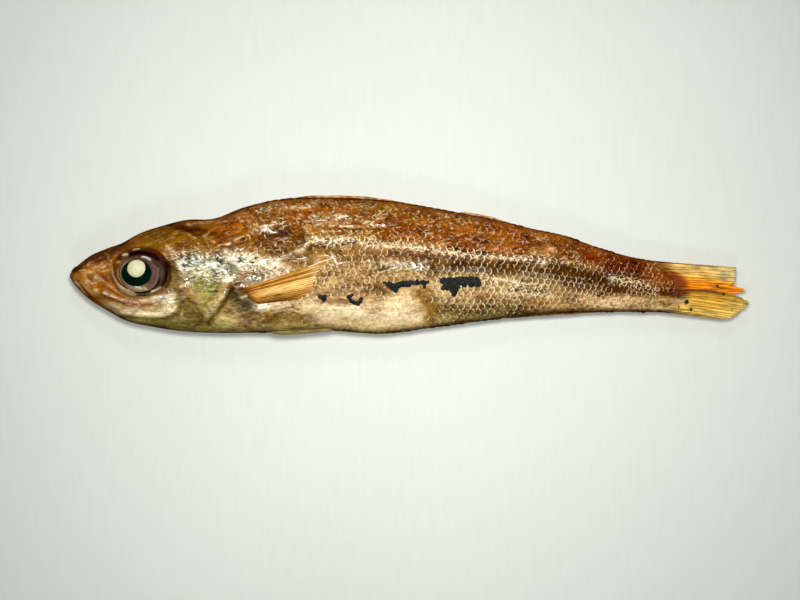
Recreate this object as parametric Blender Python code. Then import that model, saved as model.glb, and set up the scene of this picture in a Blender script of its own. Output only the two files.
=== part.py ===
"""A whole smoked fish lying on its right side: body, head and folded fins as one solid.

The fish is drawn in millimetres. x runs from the tip of the snout to the end of the tail, y from
the belly side to the back, and z up from the surface that the fish lies on.
"""

import math

import bmesh
import bpy
import numpy as np

MM = 0.001

# Driving sizes of the fish, in millimetres
LENGTH = 200.0
PEDUNCLE_END = 178.0
SECTION_POWER = 2.15
EDGE_FADE = 0.45
RELIEF_FROM = 3.2
RING_POINTS = 44
SNOUT_RING = 0.4
HEAD_END = 58.0
HEAD_STEP = 1.3
BODY_STEP = 3.2

# Outline seen from the left side: (distance from the snout, height), in millimetres
BACK = [(0, -3.1), (0.5, -1.8), (2.5, 0.1), (6, 2.8), (10.7, 4.9), (15.4, 6.6), (20.1, 9.2), (27, 11.6),
        (34.3, 13.4), (42.5, 13.8), (50.7, 16.9), (62.5, 19.5), (79, 19.8), (95.4, 18.8), (107, 16.9),
        (121.3, 14.2), (135.4, 11.0), (147.2, 8.3), (154.3, 5.7), (168.4, 1.9), (178, 0.8)]
BELLY = [(0, -3.1), (0.5, -4.2), (2.5, -6.9), (6, -10.1), (10.7, -13.0), (15.4, -15.7), (24.9, -18.1),
         (31.9, -19.2), (41.3, -19.8), (53, -19.8), (65, -19.5), (76, -19.1), (93, -19.9), (107.2, -18.2),
         (121.3, -16.3), (135.4, -14.7), (154.3, -13.7), (168, -13.7), (178, -13.9)]
# Height at which each section is widest, half of its width, and height of the fish's middle plane
WIDEST = [(0, -3.1), (20, -2.2), (40, -1.5), (52, 0), (62, 1.5), (72, 3.2), (95, 3.8), (120, 2.0),
          (145, -0.8), (160, -3.4), (178, -6.4)]
HALF_WIDTH = [(0, 0.1), (0.5, 1.1), (2.5, 2.7), (6, 4.2), (12, 6.0), (20, 7.8), (30, 9.1), (42, 10.2),
              (52, 10.6), (62, 10.4), (80, 10.2), (100, 9.6), (120, 8.2), (140, 6.2), (155, 4.6),
              (168, 2.8), (178, 0.35)]
MIDDLE = [(0, 8.6), (20, 9.3), (40, 9.8), (60, 9.8), (100, 9.2), (120, 8.7), (150, 8.0), (178, 7.3),
          (200, 6.3)]

# Eye: centre, radii of the socket, radius of the eyeball
EYE = (20.9, -2.1)
SOCKET = (8.8, 7.6)
EYEBALL = 6.2
SOCKET_DEPTH = 1.5
EYEBALL_RISE = 1.9

# Ridges of bone and dried skin: points along the crest, half-width, height; a furrow has a negative height
RIDGES = {
    "brow": ([(12.5, 3.0), (15.6, 5.0), (20.8, 6.3), (26.2, 5.6), (29.8, 3.0), (30.8, 0.0)], 1.4, 0.5),
    "below the eye": ([(10.2, -7.9), (14.3, -9.9), (19.4, -10.8), (24.4, -10.3), (29.0, -8.2)], 1.3, 0.45),
    "mouth": ([(0.3, -3.4), (2.0, -5.6), (4.4, -7.8), (7.3, -9.8), (10.2, -11.7), (13.2, -13.5),
               (15.4, -14.8)], 0.9, -1.0),
    "cheek edge": ([(15.4, -14.4), (20.8, -14.8), (26.2, -14.8), (29.4, -14.3), (31.4, -12.7), (32.6, -10.2),
                    (33.0, -5.7), (32.5, -1.4), (31.3, 1.0)], 1.1, 0.5),
    "throat groove": ([(18.0, -16.2), (24.0, -16.4), (30.0, -16.0)], 1.2, -0.4),
    "gill cover groove": ([(46.0, -6.0), (42.4, -9.6), (39.7, -13.6)], 1.1, -0.6),
    "gill cover band": ([(47.4, -8.2), (44.3, -12.0), (41.3, -15.8)], 1.4, 0.6),
    "gill opening": ([(49.4, -7.4), (48.0, -10.6), (45.3, -14.4), (41.5, -17.2)], 1.2, -0.9),
    "temple": ([(44.7, 5.6), (46.6, 6.1), (51.3, 8.5)], 1.0, 0.5),
    "hollow rim": ([(55.4, 1.0), (60.4, 2.2), (64.8, 3.4), (67.8, 4.9), (69.9, 7.0), (70.4, 10.0),
                    (69.6, 12.8)], 1.5, 0.7),
    "lateral ridge": ([(69.6, 6.6), (76.6, 7.5), (90.4, 6.9), (100.1, 6.0), (106.0, 4.6), (114.0, 3.1),
                       (122.0, 2.5), (137.0, 1.9), (144.3, 0.7), (153.0, -1.3), (168.0, -6.3)], 1.8, 0.8),
    "furrow below the ridge": ([(74.0, 2.6), (90.0, 3.4), (109.0, 0.6), (120.8, -0.2), (132.5, -1.3),
                                (144.3, -3.1), (156.0, -5.7)], 1.9, -0.5),
    "flank band": ([(91.3, -0.1), (98.7, 0.1), (104.6, -0.7)], 1.8, 0.45),
    "back furrow": ([(76.6, 11.6), (91.3, 11.0), (106.0, 10.4), (120.7, 8.1), (138.4, 5.7)], 1.3, -0.4),
    "belly fold": ([(73.7, -13.7), (85.4, -13.4), (97.2, -13.7)], 1.5, 0.3),
    "belly end": ([(99.6, -7.8), (103.1, -10.1), (106.0, -13.7), (106.6, -16.6)], 1.8, -0.5),
}
# Hollow of dried flesh behind the head: centre, radii, depth
HOLLOW = ((61.6, 7.5), (8.2, 4.2), 1.1)

# Folded fins: where each starts and ends along the body, height above the outline, half-thickness
DORSAL_FINS = {"first": (66.0, 97.0, 0.95), "second": (112.5, 128.5, 0.85)}
ANAL_FIN = (127.0, 156.0, 0.6)
FIN_HALF = 0.6
FIN_SINK = 2.0

# Breast fin against the flank: base and tip lines as (upper point, lower point)
BREAST_BASE = ((51.5, -7.4), (55.2, -12.2))
BREAST_TIP = ((75.8, 1.6), (68.0, -10.0))
BREAST_RAYS = 7
BREAST_PROUD = 0.55
BREAST_DEPTH = 1.6

# Belly fins folded along the keel: start, end, height of the blade, distance from the middle plane,
# and how deep in the body the root starts
BELLY_FIN = (49.0, 76.5, 3.6)
BELLY_FIN_SIDE = 2.6
BELLY_FIN_THICKNESS = 1.3
BELLY_FIN_ROOT = 1.6

# Tail fin: root, then the ragged end as (share down the fin, distance from the snout, height)
TAIL_ROOT = (169.0, 1.5, -13.1)
TAIL_END = [(0, 196.4, -0.7), (0.16, 196.2, -2.4), (0.30, 195.6, -4.6), (0.42, 196.4, -6.5),
            (0.45, 199.2, -7.2), (0.50, 199.4, -8.5), (0.53, 196.6, -9.0), (0.62, 200.0, -11.0),
            (0.70, 198.2, -12.3), (0.78, 198.6, -13.3), (0.88, 196.6, -14.9), (1, 191.6, -16.0)]
TAIL_RAYS = 9
TAIL_RAY_HEIGHT = 0.14
TAIL_THICKNESS = 0.75
TAIL_LOBE_STEP = 0.5


def smooth_curve(points):
    """A function of x that runs smoothly through the points, with slopes taken from their neighbours."""
    xs, ys = (np.array(column, float) for column in zip(*points))
    slopes = np.gradient(ys, xs)

    def value(x):
        x = np.clip(np.asarray(x, float), xs[0], xs[-1])
        i = np.clip(np.searchsorted(xs, x, side="right") - 1, 0, len(xs) - 2)
        step = xs[i + 1] - xs[i]
        t = (x - xs[i]) / step
        rise = (ys[i + 1] - ys[i]) * t * t * (3 - 2 * t)
        bend = step * (slopes[i] * t * (1 - t) ** 2 - slopes[i + 1] * t * t * (1 - t))
        return ys[i] + rise + bend

    return value


back_at = smooth_curve(BACK)
belly_at = smooth_curve(BELLY)
widest_at = smooth_curve(WIDEST)
half_width_at = smooth_curve(HALF_WIDTH)
middle_at = smooth_curve(MIDDLE)


def smooth_step(t):
    t = np.clip(t, 0, 1)
    return t * t * (3 - 2 * t)


def distance_to_path(x, y, path):
    """Distance from (x, y) to a chain of straight lines."""
    nearest = np.full(np.shape(x), np.inf)
    for (ax, ay), (bx, by) in zip(path, path[1:]):
        dx, dy = bx - ax, by - ay
        share = np.clip(((x - ax) * dx + (y - ay) * dy) / (dx * dx + dy * dy), 0, 1)
        nearest = np.minimum(nearest, np.hypot(x - ax - share * dx, y - ay - share * dy))
    return nearest


def relief(x, y):
    """Height of the head bones, gill cover, ridges and hollows above the plain flank."""
    height = np.zeros(np.shape(x))
    for path, half, rise in RIDGES.values():
        height += rise * np.exp(-((distance_to_path(x, y, path) / half) ** 2))
    (cx, cy), (rx, ry), depth = HOLLOW
    height -= depth * smooth_step(1.3 - np.hypot((x - cx) / rx, (y - cy) / ry))
    out = np.hypot((x - EYE[0]) / SOCKET[0], (y - EYE[1]) / SOCKET[1])
    height -= SOCKET_DEPTH * smooth_step((1.05 - out) / 0.35)
    ball = np.hypot(x - EYE[0], y - EYE[1]) / EYEBALL
    height += EYEBALL_RISE * np.clip(1 - ball**2, 0, 1) ** 0.8
    return height


def flank_point(x, turn):
    """The skin at x, as (y, z), for turn in radians round the section from the back over the left side."""
    upright, across = np.cos(turn), np.sin(turn)
    power = 2 / SECTION_POWER
    widest = widest_at(x)
    reach = np.where(upright > 0, back_at(x) - widest, widest - belly_at(x))
    y = widest + np.sign(upright) * reach * np.abs(upright) ** power
    bulge = half_width_at(x) * np.abs(across) ** power
    fade = smooth_step(np.abs(across) / EDGE_FADE) * smooth_step(half_width_at(x) / RELIEF_FROM)
    bulge = bulge + relief(x, y) * fade
    z = middle_at(x) + np.sign(across) * bulge
    return y, np.maximum(z, 0.0)


def flank_height(x, y):
    """Height of the left flank's plain skin over the point (x, y)."""
    widest = widest_at(x)
    reach = np.where(y > widest, back_at(x) - widest, widest - belly_at(x))
    share = np.clip(np.abs(y - widest) / reach, 0, 0.999)
    bulge = half_width_at(x) * (1 - share**SECTION_POWER) ** (1 / SECTION_POWER)
    return middle_at(x) + bulge + relief(x, y)


def even_turns(x, count):
    """Turns round the section at x that are about the same distance apart along the skin."""
    fine = np.linspace(0, 2 * math.pi, 721)
    y, z = flank_point(np.full(fine.shape, x), fine)
    along = np.concatenate([[0], np.cumsum(np.hypot(np.diff(y), np.diff(z)) + 1e-4)])
    return np.interp(np.linspace(0, along[-1], count + 1), along, fine)


def sheet(name, columns, rows, place):
    """A grid of quads whose corners place(u, v) puts, with u and v from 0 to 1."""
    bm = bmesh.new()
    bmesh.ops.create_grid(bm, x_segments=columns, y_segments=rows, size=1)
    for vert in bm.verts:
        x, y, z = place((vert.co.x + 1) / 2, (vert.co.y + 1) / 2)
        vert.co = ((x - LENGTH / 2) * MM, y * MM, z * MM)
    mesh = bpy.data.meshes.new(name)
    bm.to_mesh(mesh)
    bm.free()
    return bpy.data.objects.new(name, mesh)


def body_stations():
    """Distances from the snout of the rings round the fish, closer together on the head."""
    head = np.arange(SNOUT_RING, HEAD_END, HEAD_STEP)
    body = np.linspace(HEAD_END, PEDUNCLE_END, int((PEDUNCLE_END - HEAD_END) / BODY_STEP) + 1)
    return [*head, *body]


def make_body():
    """The trunk and head: a grid wrapped round the fish, then sewn shut along the back and at both ends."""
    stations = body_stations()
    rings = [(x, *flank_point(np.full(RING_POINTS + 1, x), even_turns(x, RING_POINTS))) for x in stations]

    def place(u, v):
        ring = round(v * len(stations))
        if ring == 0:
            return 0, float(widest_at(0)), float(middle_at(0))
        x, y, z = rings[ring - 1]
        corner = round(u * RING_POINTS) % RING_POINTS
        return x, y[corner], z[corner]

    body = sheet("fish", RING_POINTS, len(stations), place)
    bm = bmesh.new()
    bm.from_mesh(body.data)
    bmesh.ops.remove_doubles(bm, verts=bm.verts, dist=0.01 * MM)
    bmesh.ops.holes_fill(bm, edges=bm.edges, sides=0)
    bmesh.ops.triangulate(bm, faces=bm.faces)
    bmesh.ops.recalc_face_normals(bm, faces=bm.faces)
    bm.to_mesh(body.data)
    bm.free()
    return body


def thicken(fin, thickness, offset=0.0):
    solid = fin.modifiers.new("Solidify", "SOLIDIFY")
    solid.thickness = thickness * MM
    solid.offset = offset
    return fin


def make_edge_fin(name, start, end, rise, outline, side):
    """A fin folded down into the edge of the body, as a low blade in the middle plane."""

    def place(u, v):
        x = start + (end - start) * u
        height = rise * math.sin(math.pi * min(u, 0.97) ** 0.8) ** 0.4
        y = float(outline(x)) + side * (v * (height + FIN_SINK) - FIN_SINK)
        return x, y, float(middle_at(x))

    return thicken(sheet(name, 14, 2, place), 2 * FIN_HALF)


def make_breast_fin(name, side):
    """The fan of rays that lies back against the flank, sunk in the skin by most of its depth."""

    def place(u, v):
        (bx, by), (cx, cy) = BREAST_BASE
        (tx, ty), (wx, wy) = BREAST_TIP
        x = (bx + (cx - bx) * v) * (1 - u) + (tx + (wx - tx) * v) * u
        y = (by + (cy - by) * v) * (1 - u) + (ty + (wy - ty) * v) * u
        ray = 0.12 * math.cos(2 * math.pi * BREAST_RAYS * v)
        lift = BREAST_PROUD * (0.5 + 0.5 * u) + ray
        bulge = float(flank_height(x, y)) - float(middle_at(x)) + lift
        return x, y, max(float(middle_at(x)) + side * bulge, 0.0)

    return thicken(sheet(name, 8, 2 * BREAST_RAYS, place), BREAST_DEPTH, offset=side)


def make_belly_fin(name, side):
    """One of the pair folded back along the keel under the belly."""
    start, end, height = BELLY_FIN

    def place(u, v):
        x = start + (end - start) * u
        root = BELLY_FIN_ROOT * float(1 - smooth_step(u / 0.25))
        low = float(belly_at(x)) + root - 0.75 * math.sin(math.pi * u**0.7)
        tall = height * (1 - 0.75 * u)
        bow = BELLY_FIN_SIDE * (1 - 0.35 * u) + 1.1 * v
        return x, low + tall * v, float(middle_at(x)) + side * bow

    return thicken(sheet(name, 12, 3, place), BELLY_FIN_THICKNESS)


def make_tail():
    """Both lobes of the tail fin, folded together, with the lower lobe lying over the upper."""
    shares, ends_x, ends_y = (np.array(column, float) for column in zip(*TAIL_END))
    root_x, root_top, root_low = TAIL_ROOT

    def place(u, v):
        down = 1 - v
        end_x, end_y = np.interp(down, shares, ends_x), np.interp(down, shares, ends_y)
        x = root_x + (end_x - root_x) * u
        y = (root_top + (root_low - root_top) * down) * (1 - u) + end_y * u
        ray = TAIL_RAY_HEIGHT * math.cos(2 * math.pi * TAIL_RAYS * down)
        lobe = TAIL_LOBE_STEP * float(smooth_step((down - 0.49) / 0.06))
        wave = 0.35 * math.sin(0.25 * (x - root_x)) * (down - 0.4)
        return x, y, float(middle_at(x)) + u * (ray + lobe + wave)

    return thicken(sheet("tail", 9, 36, place), TAIL_THICKNESS)


def join(body, fins):
    """Unites the fins with the body into one closed solid, and leaves no other object."""
    group = bpy.data.collections.new("fins")
    bpy.context.scene.collection.children.link(group)
    for fin in fins:
        group.objects.link(fin)
    union = body.modifiers.new("Union", "BOOLEAN")
    union.operation = "UNION"
    union.operand_type = "COLLECTION"
    union.collection = group
    bpy.context.view_layer.update()
    graph = bpy.context.evaluated_depsgraph_get()
    joined = bpy.data.meshes.new_from_object(body.evaluated_get(graph), depsgraph=graph)
    body.modifiers.clear()
    body.data = joined
    for fin in fins:
        bpy.data.objects.remove(fin)
    bpy.data.collections.remove(group)
    return body


def smoked_skin():
    """Golden-brown skin with a dry shine."""
    material = bpy.data.materials.new("smoked_skin")
    material.use_nodes = True
    shader = material.node_tree.nodes["Principled BSDF"]
    shader.inputs["Base Color"].default_value = (0.36, 0.2, 0.07, 1)
    shader.inputs["Roughness"].default_value = 0.4
    shader.inputs["Metallic"].default_value = 0.0
    return material


def main():
    for old in list(bpy.data.objects):
        bpy.data.objects.remove(old)
    body = make_body()
    bpy.context.scene.collection.objects.link(body)
    fins = [make_edge_fin(f"dorsal_{name}", *span, back_at, 1) for name, span in DORSAL_FINS.items()]
    fins.append(make_edge_fin("anal", *ANAL_FIN, belly_at, -1))
    for side, label in ((1, "left"), (-1, "right")):
        fins.append(make_breast_fin(f"breast_{label}", side))
        fins.append(make_belly_fin(f"belly_{label}", side))
    fins.append(make_tail())
    fish = join(body, fins)
    fish.data.materials.clear()
    fish.data.materials.append(smoked_skin())
    fish.data.shade_smooth()
    fish.data.set_sharp_from_angle(angle=math.radians(50))


main()
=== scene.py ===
"""A whole smoked fish on its side: skin, scales, eyes, fins and char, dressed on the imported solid.

Sizes are in millimetres until a mesh is made. x runs from the tip of the snout to the end of the
tail, y from the belly side to the back, and z up from the surface that the fish lies on.
"""

import math

import bmesh
import bpy
import numpy as np
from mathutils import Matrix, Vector, noise


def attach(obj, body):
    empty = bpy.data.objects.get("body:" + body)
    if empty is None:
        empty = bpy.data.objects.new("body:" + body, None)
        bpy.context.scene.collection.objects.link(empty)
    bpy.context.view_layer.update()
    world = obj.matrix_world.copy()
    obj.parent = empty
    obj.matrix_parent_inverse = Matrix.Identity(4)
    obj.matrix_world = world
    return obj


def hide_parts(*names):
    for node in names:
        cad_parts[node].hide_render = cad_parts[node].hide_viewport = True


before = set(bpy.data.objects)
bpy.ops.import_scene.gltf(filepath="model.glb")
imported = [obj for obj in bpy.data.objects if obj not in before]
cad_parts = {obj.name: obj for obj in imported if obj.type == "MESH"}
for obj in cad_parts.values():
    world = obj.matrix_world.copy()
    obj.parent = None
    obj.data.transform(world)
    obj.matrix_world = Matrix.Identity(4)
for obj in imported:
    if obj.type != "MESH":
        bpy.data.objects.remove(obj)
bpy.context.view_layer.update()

# The tabletop under the fish: a plain pale sheet, faintly brushed, with the lamps and the camera.
# One lamp hangs almost above and one far off at each long side, so that wet wrinkles glint while the
# smooth skin keeps its colour.
MM = 0.001
TABLE_SIZE = 3000
LAMP_HEIGHT = 1000
AIR_LIGHT = 0.12
TABLE_GLOW = 0.22
CAMERA_HEIGHT = 2400
PICTURE_WIDTH = 235.3
PICTURE_MIDDLE = (-2.8, -10.15)
FISH_MIDDLE_HEIGHT = 9.5
SENSOR = 36


def shade(red, green, blue):
    """A colour seen in daylight, 0 to 255, as the linear numbers that a material takes."""
    return tuple((part / 255) ** 2.2 for part in (red, green, blue)) + (1.0,)


class Wire:
    """A value that runs through a material. Arithmetic on it adds Math nodes."""

    def __init__(self, tree, socket=None):
        self.tree = tree
        self.socket = socket

    def node(self, kind, settings=None, sockets=None, output=0):
        """Adds a node: its settings first, then the values or wires of its sockets."""
        made = self.tree.nodes.new(kind)
        for name, value in (settings or {}).items():
            setattr(made, name, value)
        for name, value in (sockets or {}).items():
            if isinstance(value, Wire):
                self.tree.links.new(value.socket, made.inputs[name])
            else:
                made.inputs[name].default_value = value
        return Wire(self.tree, made.outputs[output])

    def maths(self, operation, first, second=0.0):
        return self.node("ShaderNodeMath", {"operation": operation}, {0: first, 1: second})

    def __add__(self, other):
        return self.maths("ADD", self, other)

    __radd__ = __add__

    def __mul__(self, other):
        return self.maths("MULTIPLY", self, other)

    __rmul__ = __mul__

    def __sub__(self, other):
        return self.maths("SUBTRACT", self, other)

    def __rsub__(self, other):
        return self.maths("SUBTRACT", other, self)

    def rise(self, low, high):
        """0 below low, 1 above high, and smooth between."""
        return self.node("ShaderNodeMapRange", {"interpolation_type": "SMOOTHSTEP"},
                         {"Value": self, "From Min": low, "From Max": high})

    def between(self, low, high):
        """The colour that runs from low to high as this value goes from 0 to 1."""
        return self.node("ShaderNodeMix", {"data_type": "RGBA"}, {0: self, 6: low, 7: high}, 2)

    def stained(self, stain, amount):
        """This colour multiplied by the colour stain, as far as amount goes from 0 to 1."""
        return self.node("ShaderNodeMix", {"data_type": "RGBA", "blend_type": "MULTIPLY"},
                         {0: amount, 6: self, 7: stain}, 2)

    def dim(self, strength):
        """This colour times a number."""
        sockets = {"Vector": self, "Scale": strength}
        return self.node("ShaderNodeVectorMath", {"operation": "SCALE"}, sockets)

    def place(self, stretch=(1, 1, 1), turn=0.0):
        """The point on the piece, turned round the vertical in radians, then with each axis stretched."""
        point = self.node("ShaderNodeTexCoord", output="Object")
        size = tuple(1 / part for part in stretch)
        return self.node("ShaderNodeMapping", {"vector_type": "TEXTURE"},
                         {"Vector": point, "Scale": size, "Rotation": (0, 0, turn)})

    def grain(self, point, size, detail=3.0, roughness=0.55, warp=0.0):
        """Cloudy noise from 0 to 1 whose lumps are about size millimetres apart."""
        sockets = {"Vector": point, "Scale": 1 / (size * MM), "Detail": detail,
                   "Roughness": roughness, "Distortion": warp}
        return self.node("ShaderNodeTexNoise", {}, sockets, "Fac")

    def dashes(self, more=0.0):
        """Short thin glints to paint into a colour, crossing two ways, 1 on a glint; more adds to them."""
        level = self.grain(self.place((0.42, 1.5, 1), 0.3), 1.0, 1.5, 0.5, 0.4) + more
        steep = self.grain(self.place((0.5, 1.6, 1), -0.65), 1.0, 1.5, 0.5, 0.4) + more
        return (level.rise(0.6, 0.67) + steep.rise(0.62, 0.69)).rise(0.0, 1.0)

    def cracks(self):
        """Thin dark streaks that run along the fish, 1 in a streak."""
        return self.grain(self.place((0.32, 1.4, 1), 0.12), 0.9, 2.0, 0.5, 0.8).rise(0.54, 0.66)

    def painted(self, name, output="Fac"):
        """A value that the mesh holds at its points."""
        return self.node("ShaderNodeAttribute", {"attribute_name": name}, {}, output)


def make_material(name, **fixed):
    """A material with its fixed shader values set, as (material, its shader, a wire to start from)."""
    material = bpy.data.materials.new(name)
    material.use_nodes = True
    shader = material.node_tree.nodes["Principled BSDF"]
    for socket, value in fixed.items():
        shader.inputs[socket.replace("_", " ")].default_value = value
    return material, shader, Wire(material.node_tree)


def feed(shader, **values):
    """Links wires to the shader's sockets."""
    for socket, wire in values.items():
        wire.tree.links.new(wire.socket, shader.inputs[socket.replace("_", " ")])


def bumps(wire, height, depth):
    """The surface's normal, raised by height times depth millimetres."""
    sockets = {"Strength": 1.0, "Distance": depth * MM, "Height": height}
    return wire.node("ShaderNodeBump", {}, sockets, "Normal")


def mesh_from(bm, name):
    """A new mesh made from a bmesh, which is freed."""
    mesh = bpy.data.meshes.new(name)
    bm.to_mesh(mesh)
    bm.free()
    return mesh


def table_material():
    """A pale sheet that partly glows, as if lit from below, so that it throws soft light up under the fish.
    """
    material, shader, start = make_material("pale_sheet", Roughness=0.6, Emission_Strength=TABLE_GLOW)
    streaks = start.grain(start.place((1, 0.12, 1)), 1.4, 2.0)
    cloud = start.grain(start.place(), 90, 1.0)
    tone = streaks * 0.5 + cloud * 0.5
    feed(shader, Base_Color=tone.between(shade(176, 181, 174), shade(192, 195, 189)),
         Emission_Color=tone.between(shade(236, 242, 234), shade(250, 252, 246)))
    return material


bm = bmesh.new()
bmesh.ops.create_grid(bm, x_segments=2, y_segments=2, size=TABLE_SIZE / 2 * MM)
table_top = bpy.data.objects.new("table_top", mesh_from(bm, "table_top"))
table_top.data.materials.append(table_material())
bpy.context.scene.collection.objects.link(table_top)


def hang_lamp(name, place, size, spread, watts, colour):
    """A round lamp over (x, y), turned to face the fish."""
    lamp = bpy.data.lights.new(name, "AREA")
    lamp.shape = "DISK"
    lamp.size = size * MM
    lamp.spread = math.radians(spread)
    lamp.energy = watts
    lamp.color = colour
    holder = bpy.data.objects.new(name, lamp)
    holder.location = Vector((*place, LAMP_HEIGHT)) * MM
    aim = Vector((PICTURE_MIDDLE[0] * MM, 0, 0)) - holder.location
    holder.rotation_euler = aim.to_track_quat("-Z", "Y").to_euler()
    bpy.context.scene.collection.objects.link(holder)


hang_lamp("lamp_above", (10, 110), 150, 25, 0.225, (1.0, 0.99, 0.94))
hang_lamp("lamp_behind", (0, 700), 300, 32, 0.075, (1.0, 0.98, 0.93))
hang_lamp("lamp_front", (0, -700), 300, 32, 0.075, (0.97, 1.0, 0.97))

world = bpy.data.worlds.new("room")
world.use_nodes = True
world.node_tree.nodes["Background"].inputs["Color"].default_value = (0.93, 0.97, 0.95, 1)
world.node_tree.nodes["Background"].inputs["Strength"].default_value = AIR_LIGHT
bpy.context.scene.world = world
bpy.context.scene.view_settings.view_transform = "Standard"

camera_data = bpy.data.cameras.new("camera")
camera_data.sensor_width = SENSOR
camera_data.lens = SENSOR * (CAMERA_HEIGHT - FISH_MIDDLE_HEIGHT) / PICTURE_WIDTH
camera = bpy.data.objects.new("camera", camera_data)
camera.location = (PICTURE_MIDDLE[0] * MM, PICTURE_MIDDLE[1] * MM, CAMERA_HEIGHT * MM)
bpy.context.scene.collection.objects.link(camera)
bpy.context.scene.camera = camera

# The skin: one closed hide from the snout to the root of the tail, dried and browned in the smoke.
# It is a grid wrapped round the fish, with the head's bones, folds and wrinkles pushed up out of it.
LENGTH = 200.0
PEDUNCLE_END = 178.0
SECTION_POWER = 2.15
EDGE_FADE = 0.45
RELIEF_FROM = 3.2
SNOUT_RING = 0.3
HEAD_END = 60.0
HEAD_RINGS = 200
BODY_RINGS = 190
ROUND_POINTS = 232
UNDERSIDE_SHARE = 0.45

# The body's lines as (x, value): back, belly, the height at which it is widest, half of its width, and
# how high its middle plane lies over the table
BACK = [(0, -3.1), (0.5, -1.8), (2.5, 0.1), (6, 2.8), (10.7, 4.9), (15.4, 6.6), (20.1, 9.2), (27, 11.6),
        (34.3, 13.4), (42.5, 13.8), (50.7, 16.9), (62.5, 19.5), (79, 19.8), (95.4, 18.8), (107, 16.9),
        (121.3, 14.2), (135.4, 11.0), (147.2, 8.3), (154.3, 5.7), (168.4, 1.9), (178, 0.8)]
BELLY = [(0, -3.1), (0.5, -4.2), (2.5, -6.9), (6, -10.1), (10.7, -13.0), (15.4, -15.7), (24.9, -18.1),
         (31.9, -19.2), (41.3, -19.8), (53, -19.8), (65, -19.5), (76, -19.1), (93, -19.9), (107.2, -18.2),
         (121.3, -16.3), (135.4, -14.7), (154.3, -13.7), (168, -13.7), (178, -13.9)]
WIDEST = [(0, -3.1), (20, -2.2), (40, -1.5), (52, 0), (62, 1.5), (72, 3.2), (95, 3.8), (120, 2.0),
          (145, -0.8), (160, -3.4), (178, -6.4)]
HALF_WIDTH = [(0, 0.1), (0.5, 1.1), (2.5, 2.7), (6, 4.2), (12, 6.0), (20, 7.8), (30, 9.1), (42, 10.2),
              (52, 10.6), (62, 10.4), (80, 10.2), (100, 9.6), (120, 8.2), (140, 6.2), (155, 4.6),
              (168, 2.8), (178, 0.35)]
MIDDLE = [(0, 8.6), (20, 9.3), (40, 9.8), (60, 9.8), (100, 9.2), (120, 8.7), (150, 8.0), (178, 7.3),
          (200, 6.3)]

EYE = (20.9, -2.1)
SOCKET = (8.8, 7.6)
SOCKET_DEPTH = 2.6
SOCKET_EDGE = 1.04
SOCKET_SLOPE = 0.16

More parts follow.
